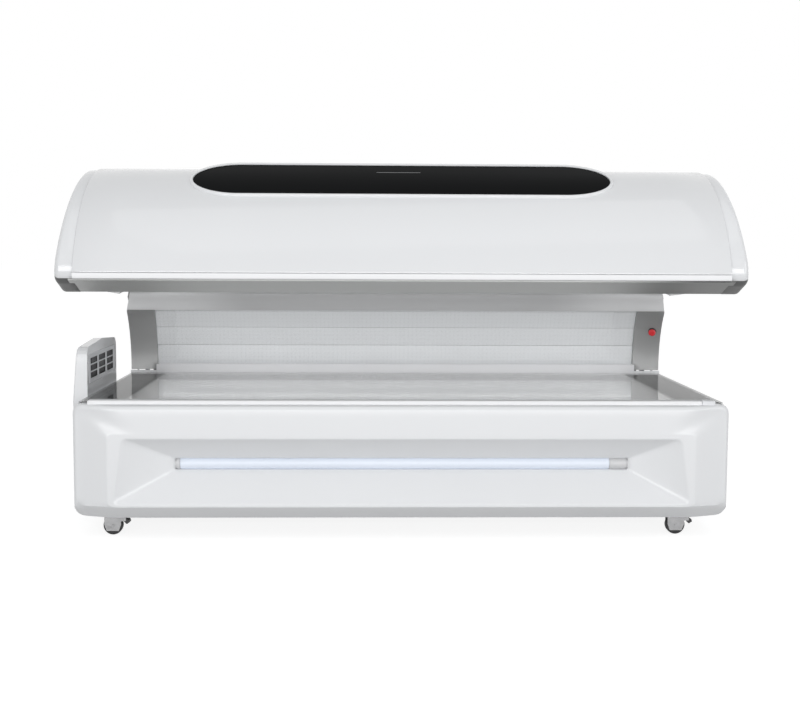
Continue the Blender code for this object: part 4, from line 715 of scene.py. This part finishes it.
def make_shell():
    """The outer profile and the same moved in by the skin, as a loop drawn along X with eased ends.

    A flat band along the profile, from within the skin to the band's width, closes each end.
    """
    outer = shell_profile(SHELL_RADIUS)
    outer = np.concatenate([outer[:1] + SHELL_LAP, outer])
    inner = moved_left(outer, -SKIN)
    ends = [(SHOWN_SEAM - step, inset) for step, inset in SHELL_END_EASE]
    middle = [(x, 0.0) for x in np.linspace(SHELL_STATION_HALF, -SHELL_STATION_HALF, SHELL_STATIONS)]
    stations = ends + middle + [(-x, inset) for x, inset in ends[::-1]]
    loops = [at(x, np.concatenate([moved_left(outer, -inset), inner[::-1]])) for x, inset in stations]
    made = looped_strip("canopy_shell_skin", loops)
    dress(made, "canopy", "white_gloss", WHITE_GLOSS, "canopy_shell")
    band_x = SHOWN_SEAM - SHELL_END_IN
    band = [(band_x, moved_left(outer, -SKIN / 2)), (band_x, moved_left(outer, -SHELL_END_BAND))]
    for name, side in SIDES:
        made = mirrored_skin(f"canopy_shell_end_{name}", band, side, SKIN / 2)
        dress(made, "canopy", "white_gloss", WHITE_GLOSS)


def make_front_rail():
    """A four-sided profile with rounded corners, drawn along X from cap to cap."""
    low, high = (np.asarray(corner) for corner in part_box("front_rail"))
    across = np.array([high[1] - low[1], high[2] - low[2]]) / 2
    middle = np.array([(low[1] + high[1]) / 2 - FRONT_Y, (low[2] + high[2]) / 2])
    corners = []
    for way, start in (((1, 1), 0), ((-1, 1), 90), ((-1, -1), 180), ((1, -1), 270)):
        centre = middle + np.array(way) * (across - FRONT_RAIL_ROUND)
        turns = np.linspace(start, start + 90, FRONT_RAIL_ROUND_STEPS)
        corners.append(polar(centre, FRONT_RAIL_ROUND, turns))
    section = np.concatenate(corners)
    reach = SHOWN_SEAM - GAP
    rings = [at(x, section) for x in np.linspace(-reach, reach, FRONT_RAIL_STATIONS)]
    dress(closed_sweep("front_rail_band", rings), "canopy", "bare_aluminium", RAIL_WHITE, "front_rail")


def lip_line():
    """Front and inner point of the lip's underside."""
    crease = shell_profile(SHELL_RADIUS)[0]
    front = crease + np.array([LIP_BACK, -FRONT_RAIL_HEIGHT])
    return front, polar(front, LIP_RUN, [-OPEN_NOW])[0]


def leaned(x, line, low):
    """The x of a cap's line, less a share of the lean times each point's height above the lowest one."""
    share = max(x - CAP_SEAM, 0) / (CANOPY_HALF - CAP_SEAM)
    return x - CAP_LEAN * share * (line[:, 1] - low)


def make_caps():
    """Cap outline carried out from the seam over a quarter round to a flat side, which ends in its chord.

    The sole is the outline's lower part, as far as a few points up the nose, moved out a little: a dark grey
    skin of painted shade on the cap's underside.
    """
    front, inner = lip_line()
    shell = shell_profile(SHELL_RADIUS - CAP_STEP)[CAP_SHELL_SKIP:]
    start = polar(front, CAP_NOSE, [-OPEN_NOW])[0]
    corner = front - np.array([FRONT_RAIL_DEPTH / 2, 0])
    under = np.linspace(inner, start, CAP_UNDER_STEPS)[:-1]
    path = np.concatenate([under, curve_through(start, corner, shell[0], CAP_NOSE_STEPS), shell[1:]])
    turn = np.linspace(0, QUARTER, CAP_ROUND_STEPS)
    section = [(SHOWN_SEAM + step, inset) for step, inset in CAP_SEAM_EASE]
    section += list(zip(CANOPY_HALF - CAP_ROUND * (1 - np.sin(turn)), CAP_ROUND * (1 - np.cos(turn))))
    rows = [(x, moved_left(path, -inset)) for x, inset in section]
    rim = rows[-1][1]
    low = rim[:, 1].min()
    chord = rim[0] + np.linspace(0, 1, len(rim))[:, None] * (rim[-1] - rim[0])
    rows += [(CANOPY_HALF, rim + (chord - rim) * share) for share in CAP_SIDE_SHARES]
    below = len(under) + CAP_SOLE_BEND
    painted_shade_sole = [(x, moved_left(path, CAP_SOLE_PROUD - inset)[:below]) for x, inset in section]
    rows, painted_shade_sole = ([(leaned(x, line, low), line) for x, line in part] for part in (rows, painted_shade_sole))
    for name, side in SIDES:
        made = mirrored_skin(f"canopy_cap_{name}_skin", rows, side, SKIN)
        dress(made, "canopy", "white_gloss", WHITE_GLOSS, f"canopy_cap_{name}")
        # A dark grey skin over the cap's underside: painted shade
        made = mirrored_skin(f"canopy_cap_{name}_sole", painted_shade_sole, side, CAP_SOLE_PROUD / 2)
        dress(made, "canopy", "grey_satin", PAINTED_SHADE_AND_REFLECTION_GREY)


def oval(place, straight, end, half, steps):
    """Straight sides with elliptical ends round a place, in the console's tilted plane."""
    turn = np.linspace(-QUARTER, QUARTER, steps)
    x = straight + end * np.cos(turn)
    v = half * np.sin(turn)
    x, v = np.concatenate([x, -x]), np.concatenate([v, -v])
    return place + np.stack([x, 0 * x, 0 * x], -1) + v[:, None] * CONSOLE_SLOPE


def console_loop(grow, rise):
    """The console's oval made larger all round and lifted along its normal."""
    place = CONSOLE_PLACE + CONSOLE_NORMAL * rise
    return oval(place, CONSOLE_STRAIGHT, CONSOLE_END + grow, CONSOLE_HALF + grow, CONSOLE_STEPS)


def make_console():
    """A rim profile carried round the oval, a black plate with eased edges in it, and a thin status line."""
    rings = np.asarray([console_loop(*point) for point in RIM_PROFILE])
    rim = make_piece("console_rim", rings, grid_faces(*rings.shape[:2], True, True))
    dress(rim, "canopy", "white_gloss", WHITE_GLOSS, "console_bezel")
    plate = closed_sweep("console_plate", [console_loop(*point) for point in PLATE_PROFILE])
    dress(plate, "canopy", "console_black", CONSOLE_BLACK, "console_glass")
    centre = CONSOLE_PLACE + np.array([STATUS_X, 0, 0]) + CONSOLE_SLOPE * STATUS_UP
    flat = oval(centre, STATUS_HALF, STATUS_ROUND, STATUS_ROUND, STATUS_STEPS)
    line = closed_sweep("console_status_line", [flat + CONSOLE_NORMAL * rise for rise in STATUS_RISES])
    dress(line, "canopy", "console_black", STATUS_GREY)


def arch_line():
    """The light arch: facets up the back, a flat top and facets down the front."""
    rear = polar(ARCH_CENTRE, ARCH_RADIUS, np.linspace(0, ARCH_TURN, ARCH_FACETS + 1))
    front_centre = polar(ARCH_CENTRE, ARCH_FLAT, [ARCH_TURN + 90])[0]
    front = polar(front_centre, ARCH_RADIUS, np.linspace(ARCH_TURN, ARCH_FRONT_END, ARCH_FACETS + 1))
    return np.concatenate([rear, front])


def make_board(name, path, node):
    """A light board: a faceted path with a thickness behind it, drawn along X, its UV map in metres."""
    inner = np.asarray(path)
    lengths = np.concatenate([[0], np.cumsum(np.linalg.norm(np.diff(inner, axis=0), axis=1))])
    columns = np.concatenate([inner, moved_left(inner, -BOARD)[::-1]])
    along = np.concatenate([lengths, lengths[::-1]])
    loops = [at(x, columns) for x in (-BOARD_HALF, BOARD_HALF)]
    uv = [np.stack([np.full_like(along, x + BOARD_UV_START), along], -1) for x in (0, 2 * BOARD_HALF)]
    made = looped_strip(name, loops, uv=uv, sharp=FACET_SHARP_ANGLE)
    dress(made, "canopy", "white_board", LIGHT_BOARD, node)


def make_light_boards():
    """One board on each of the arch's lowest facets, set apart by a gap, and one over the other facets."""
    path = arch_line()
    for k, name in enumerate(WALL_BOARDS):
        low, high = path[k], path[k + 1]
        gap = (high - low) * BOARD_GAP / np.linalg.norm(high - low)
        line = [low + gap, high - gap]
        if k == 0:
            line.insert(0, line[0] + np.array([0, -BOARD_SKIRT]))
        make_board(f"wall_board_{name}", line, f"wall_light_board_{name}")
    rest = path[len(WALL_BOARDS):].copy()
    rest[0] += (rest[1] - rest[0]) * BOARD_GAP / np.linalg.norm(rest[1] - rest[0])
    make_board("canopy_board", rest, "canopy_light_array")


def make_arms():
    """The arms with rounded edges, and the rail between them."""
    for name, _ in SIDES:
        made = softened(f"arm_{name}", f"arm_{name}_polished", ARM_EDGE)
        dress(made, "canopy", "polished_steel", ARM_METAL, f"arm_{name}")
    # The rail between the arms: its finish carries a painted shade in the middle and painted light at the
    # ends
    rail = softened("cross_rail", "cross_rail_satin")
    dress(rail, "canopy", "bare_aluminium", RAIL_SATIN_PAINTED_END_SHADE, "cross_rail")


# Base

def ring(half_bottom, half_top, bottom, top, radius, depth):
    """A four-sided loop with round corners in the front view; depth is a function of x and height."""
    corners = np.array([(-half_bottom, bottom), (half_bottom, bottom), (half_top, top), (-half_top, top)])
    parts = []
    for k, here in enumerate(corners):
        come = here - corners[k - 1]
        leave = corners[(k + 1) % 4] - here
        come, leave = come / np.linalg.norm(come), leave / np.linalg.norm(leave)
        bend = curve_through(here - come * radius, here, here + leave * radius, RING_CORNER_STEPS)
        following = corners[(k + 1) % 4] - leave * radius
        parts += [bend, np.linspace(bend[-1], following, RING_EDGE_STEPS[k] + 1)[1:-1]]
    loop = np.concatenate(parts)
    return loop, depth(loop[:, 0], loop[:, 1])


def level(depth):
    """A loop's depth that is the same everywhere."""
    return lambda x, z: np.full_like(x, depth)


def end_sweep(x, z):
    """Depth that grows evenly from the flat part's end to the panel's end."""
    share = np.clip(np.abs(x) - PANEL_END_FLAT, 0, None) / (BASE_HALF - PANEL_END_FLAT)
    return PANEL_END_SWEEP * share


def undercut_share(z):
    """One at the panel's bottom, falling evenly to zero at the top of its lower corners."""
    return np.clip((BASE_BOTTOM + PANEL_CORNER - z) / PANEL_CORNER, 0, 1)


def edge_depth(x, z):
    """Depth of the rounded edge's start: the edge and the ends' sweep, and the undercut near the bottom."""
    return PANEL_EDGE + end_sweep(x, z) + undercut_share(z) * (PANEL_UNDERCUT_DEPTH - PANEL_EDGE)


def mixed(first, second, across, deep):
    """A loop between two loops, with its own share of the way in the front view and in depth."""
    loop = first[0] + (second[0] - first[0]) * across
    return loop, first[1] + (second[1] - first[1]) * deep


def make_front_panel():
    """Loops from the back edge over a rounded edge to the face, the recess's slopes and the lamp's slot.

    The edge is a quarter round that turns to a flat bevel where the undercut begins.
    """
    face_half = BASE_HALF - PANEL_EDGE
    outline = (BASE_HALF, BASE_HALF, BASE_BOTTOM, BASE_TOP, PANEL_CORNER)
    face_outline = (face_half, face_half, BASE_BOTTOM + PANEL_UNDERCUT, BASE_TOP - PANEL_EDGE, PANEL_CORNER)
    mouth_outline = (RECESS_BOTTOM_HALF, RECESS_TOP_HALF, RECESS_BOTTOM, RECESS_TOP, RECESS_CORNER)
    slot_outline = (SLOT_HALF, SLOT_HALF, SLOT_BOTTOM, SLOT_BOTTOM + SLOT_HEIGHT, SLOT_CORNER)
    back = ring(*outline, level(PANEL_DEPTH))
    edge = ring(*outline, edge_depth)
    face = ring(*face_outline, end_sweep)
    fold = ring(PANEL_END_FLAT, PANEL_END_FLAT, FOLD_BOTTOM, FOLD_TOP, FOLD_CORNER, level(0))
    mouth = ring(*mouth_outline, level(0))
    slot_front = ring(*slot_outline, level(RECESS_DEPTH))
    slot_back = ring(*slot_outline, level(RECESS_DEPTH + SLOT_DEPTH))
    loops = [back, edge]
    flat = undercut_share(edge[0][:, 1])
    for turn in np.linspace(0, QUARTER, PANEL_EDGE_STEPS)[1:]:
        straight = turn / QUARTER
        across = (1 - math.cos(turn)) * (1 - flat) + straight * flat
        deep = math.sin(turn) * (1 - flat) + straight * flat
        loops.append(mixed(edge, face, across[:, None], deep))
    loops += [mixed(face, fold, share, share) for share in FACE_SHARES]
    loops += [fold] + [mixed(fold, mouth, share, share) for share in FOLD_SHARES]
    loops += [mixed(mouth, slot_front, share, share * share / MOUTH_ROUND) for share in MOUTH_SHARES]
    loops += [mixed(mouth, slot_front, share, share) for share in SLOPE_SHARES]
    loops += [mixed(slot_front, slot_back, 0.0, share) for share in SLOT_SHARES]
    points = np.asarray([np.stack([loop[:, 0], FRONT_Y + depth, loop[:, 1]], -1) for loop, depth in loops])
    count, around = points.shape[:2]
    faces = grid_faces(count, around, wrap_columns=True)[:, ::-1]
    slot_floor = [tuple(range((count - 1) * around, count * around))]
    made = make_piece("front_panel_skin", points, faces, slot_floor, outward=False)
    wall(made, PANEL_WALL, even=False)
    dress(made, "base", "white_gloss", PANEL_WHITE, "front_panel")


def turned_about_x(profile):
    """Rings of radius r at x along the lamp's axis, which lies in the middle of the slot."""
    across, up = circle(LAMP_STEPS)
    depth = RECESS_DEPTH + SLOT_DEPTH / 2
    height = SLOT_BOTTOM + SLOT_HEIGHT / 2
    return [at(x, np.stack([depth + radius * across, height + radius * up], -1)) for x, radius in profile]


def make_lamp():
    """A round tube turned about X, eased at both ends, between two turned caps with a groove."""
    inside = SLOT_HALF - GAP
    left, right = -inside + LAMP_CAP_LEFT + GAP, inside - LAMP_CAP_RIGHT - GAP
    tube = [(left, LAMP_RADIUS - LAMP_EASE), (left + LAMP_EASE, LAMP_RADIUS),
            (right - LAMP_EASE, LAMP_RADIUS), (right, LAMP_RADIUS - LAMP_EASE)]
    dress(closed_sweep("lamp_tube", turned_about_x(tube)), "base", "lamp_white", LAMP, "accent_lamp_tube")
    for name, start, end in (("left", left - GAP, -inside), ("right", right + GAP, inside)):
        run = np.sign(end - start)
        profile = [(start, LAMP_CAP_BORE), (start, LAMP_CAP_RADIUS - LAMP_CAP_EASE),
                   (start + run * LAMP_CAP_EASE, LAMP_CAP_RADIUS)]
        profile += [(end - run * away, LAMP_CAP_RADIUS - deep) for away, deep in LAMP_CAP_OUTER_END]
        profile.append((end, LAMP_CAP_BORE))
        made = closed_sweep(f"lamp_cap_{name}_round", turned_about_x(profile))
        dress(made, "base", "grey_satin", CAP_GREY, f"accent_lamp_cap_{name}")


def make_bed_board():
    """The board under the sheet: a flat plate with its UV map in metres."""
    low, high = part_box("bed_light_board")
    x, y = (np.linspace(low[axis], high[axis], BED_GRID[axis]) for axis in (0, 1))
    grid_x, grid_y = np.meshgrid(x, y, indexing="ij")
    top = np.stack([grid_x, grid_y, np.full_like(grid_x, high[2])], -1)
    uv = np.stack([grid_x + BED_UV_START, grid_y + BED_UV_START], -1)
    made = make_piece("bed_board", top, grid_faces(*BED_GRID), uv=uv, outward=False)
    wall(made, high[2] - low[2])
    dress(made, "base", "white_board", BED_BOARD, "bed_light_board")


def make_vent_painted_shade_screen():
    """A black screen of painted shade behind the vent slots: a flat grid across the duct's inner wall, thin
    walled.
    """
    low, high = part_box("vent_grille")
    rows, columns = VENT_SCREEN_GRID
    y, z = np.linspace(low[1], high[1], rows), np.linspace(low[2], high[2], columns)
    grid_y, grid_z = np.meshgrid(y, z, indexing="ij")
    points = np.stack([np.full_like(grid_y, VENT_SCREEN_X), grid_y, grid_z], -1)
    made = make_piece("vent_painted_shade_screen", points, grid_faces(rows, columns), outward=False)
    wall(made, VENT_SCREEN_WALL)
    dress(made, "base", "black_plastic", BLACK_PLASTIC)


def make_sheet_end_painted_reflections():
    """Dark grey sheets under the clear sheet's two ends, a painted dark reflection: flat grids with a thin
    wall.
    """
    low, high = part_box("lying_sheet")
    rows, columns = BORDER_GRID
    y = np.linspace(low[1] + BORDER_INSET, high[1] - BORDER_INSET, columns)
    for name, side in SIDES:
        x = np.sort(side * np.linspace(BORDER_IN, high[0] - BORDER_INSET, rows))
        grid_x, grid_y = np.meshgrid(x, y, indexing="ij")
        top = np.stack([grid_x, grid_y, np.full_like(grid_x, low[2] - BORDER_GAP)], -1)
        made = make_piece(f"sheet_end_painted_reflection_{name}", top, grid_faces(rows, columns), outward=False)
        wall(made, BORDER_GAP)
        dress(made, "base", "grey_satin", PAINTED_SHADE_AND_REFLECTION_GREY)


# Casters

def turned_about_y(place, profile):
    """Rings of radius r at run y along Y, round a place."""
    across, up = circle(WHEEL_STEPS)
    loop = np.stack([across, 0 * across, up], -1)
    return np.asarray([np.asarray(place) + loop * radius + np.array([0, run, 0]) for run, radius in profile])


def make_casters():
    """Each wheel is one face's profile and its mirror image, turned about the axle, in a softened fork."""
    face = [(step - WHEEL_WIDTH / 2, radius) for step, radius in WHEEL_FACE]
    profile = face + [(-run, radius) for run, radius in face[::-1]]
    for name in CASTERS:
        low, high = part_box(f"caster_wheel_{name}")
        place = [(a + b) / 2 for a, b in zip(low, high)]
        rings = turned_about_y(place, profile)
        wheel = make_piece(f"wheel_{name}_tread", rings, grid_faces(*rings.shape[:2], True, True))
        dress(wheel, f"wheel_{name}", "tread_rubber", RUBBER, f"caster_wheel_{name}")
        fork = softened(f"caster_fork_{name}", f"fork_{name}_satin", FORK_EDGE)
        dress(fork, f"caster_{name}", "bare_aluminium", FORK_METAL, f"caster_fork_{name}")


make_shell()
make_front_rail()
make_caps()
make_console()
make_light_boards()
make_arms()
make_front_panel()
make_lamp()
make_bed_board()
make_vent_painted_shade_screen()
make_sheet_end_painted_reflections()
make_casters()

# Finishes on the solids that stay
NODE_FINISHES = (
    (WHITE_GLOSS, ("air_duct", "end_panel_left", "end_panel_right")),
    (TRIM_WHITE, ("front_trim",)),
    (SILL_WHITE, ("rear_sill",)),
    (WHITE_SATIN, ("trim_end_cap", "vent_grille")),
    (WHITE_STEEL, ("canopy_rear_cover", "rear_panel")),
    # The lip's finish carries a painted shade towards its ends
    (LIP_GREY_PAINTED_END_SHADE, ("canopy_lip",)),
    (GREY_SATIN, ("bottom_pan", "control_box")),
    (TRAY_GREY, ("light_tray",)),
    (FRAME_STEEL, ("base_frame", "canopy_frame", "hinge_bracket_left", "hinge_bracket_right")),
    (POLISHED, ("gas_rod_left", "gas_rod_right", "hinge_pin_left", "hinge_pin_right")),
    (ALUMINIUM, ("power_supply",)),
    (BLACK_PLASTIC, ("caster_pedal_front_left", "caster_pedal_front_right", "duct_fan_rotor",
                     "gas_cylinder_left", "gas_cylinder_right", "power_inlet", "stop_collar")),
    (SIGNAL_RED, ("stop_button",)),
    (CLEAR, ("canopy_shield",)),
    (SHEET_CLEAR, ("lying_sheet",)),
)
for material, nodes in NODE_FINISHES:
    for node in nodes:
        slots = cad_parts[node].data.materials
        slots.clear()
        slots.append(material)


# Floor, backdrop light and lamps

def seen_rays(tree):
    """One for rays of the camera, of mirrors and of clear sheets, zero for the light on matt surfaces."""
    path = wired(tree, "ShaderNodeLightPath")
    seen = maths(tree, "MAXIMUM", path.outputs["Is Camera Ray"], path.outputs["Is Glossy Ray"])
    return maths(tree, "MAXIMUM", seen, path.outputs["Is Transmission Ray"])


def floor_finish():
    """A pale floor that adds a plain glow for the rays that see it, so that it meets the white backdrop."""
    made = bpy.data.materials.new("pale_floor")
    made.use_nodes = True
    tree = made.node_tree
    tree.nodes.clear()
    matt = wired(tree, "ShaderNodeBsdfDiffuse")
    matt.inputs["Color"].default_value = FLOOR_GREY
    glow = wired(tree, "ShaderNodeEmission")
    glow.inputs["Strength"].default_value = FLOOR_GLOW
    dark = wired(tree, "ShaderNodeEmission")
    dark.inputs["Strength"].default_value = 0.0
    both = wired(tree, "ShaderNodeAddShader")
    tree.links.new(matt.outputs[0], both.inputs[0])
    tree.links.new(mixed_shader(tree, seen_rays(tree), dark.outputs[0], glow.outputs[0]), both.inputs[1])
    tree.links.new(both.outputs[0], wired(tree, "ShaderNodeOutputMaterial").inputs[0])
    return made


def make_floor():
    """One large square on the ground."""
    corners = [(FLOOR_REACH * x, FLOOR_REACH * y, 0) for x, y in ((-1, -1), (1, -1), (1, 1), (-1, 1))]
    data = bpy.data.meshes.new("studio_floor")
    data.from_pydata(corners, [], [(0, 1, 2, 3)])
    data.materials.append(floor_finish())
    floor = bpy.data.objects.new("studio_floor", data)
    bpy.context.scene.collection.objects.link(floor)


def make_world():
    """White where the camera, a mirror or a clear sheet sees it; a softer grey as light on the object."""
    world = bpy.data.worlds.new("studio")
    bpy.context.scene.world = world
    world.use_nodes = True
    tree = world.node_tree
    tree.nodes.clear()
    soft = wired(tree, "ShaderNodeBackground")
    soft.inputs["Strength"].default_value = STUDIO_LIGHT
    soft.inputs["Color"].default_value = STUDIO_TINT
    white = wired(tree, "ShaderNodeBackground")
    white.inputs["Color"].default_value = WHITE
    backdrop = mixed_shader(tree, seen_rays(tree), soft.outputs[0], white.outputs[0])
    tree.links.new(backdrop, wired(tree, "ShaderNodeOutputWorld").inputs[0])


def make_softbox(name, place, target, size, energy):
    """A rectangular lamp at a place, whose back axis points away from its target."""
    data = bpy.data.lights.new(name, "AREA")
    data.shape = "RECTANGLE"
    data.size, data.size_y = size
    data.energy = energy
    lamp = bpy.data.objects.new(name, data)
    bpy.context.scene.collection.objects.link(lamp)
    line = np.asarray(target, dtype=float) - np.asarray(place, dtype=float)
    side = np.cross(line, (0, 0, 1))
    side /= np.linalg.norm(side)
    back = -line / np.linalg.norm(line)
    up = np.cross(back, side)
    turn = Matrix(np.stack([side, up, back], -1).tolist()).to_4x4()
    lamp.matrix_world = Matrix.Translation(place) @ turn


make_floor()
make_world()
for softbox in SOFTBOXES:
    make_softbox(*softbox)
bpy.context.scene.view_settings.view_transform = "Standard"
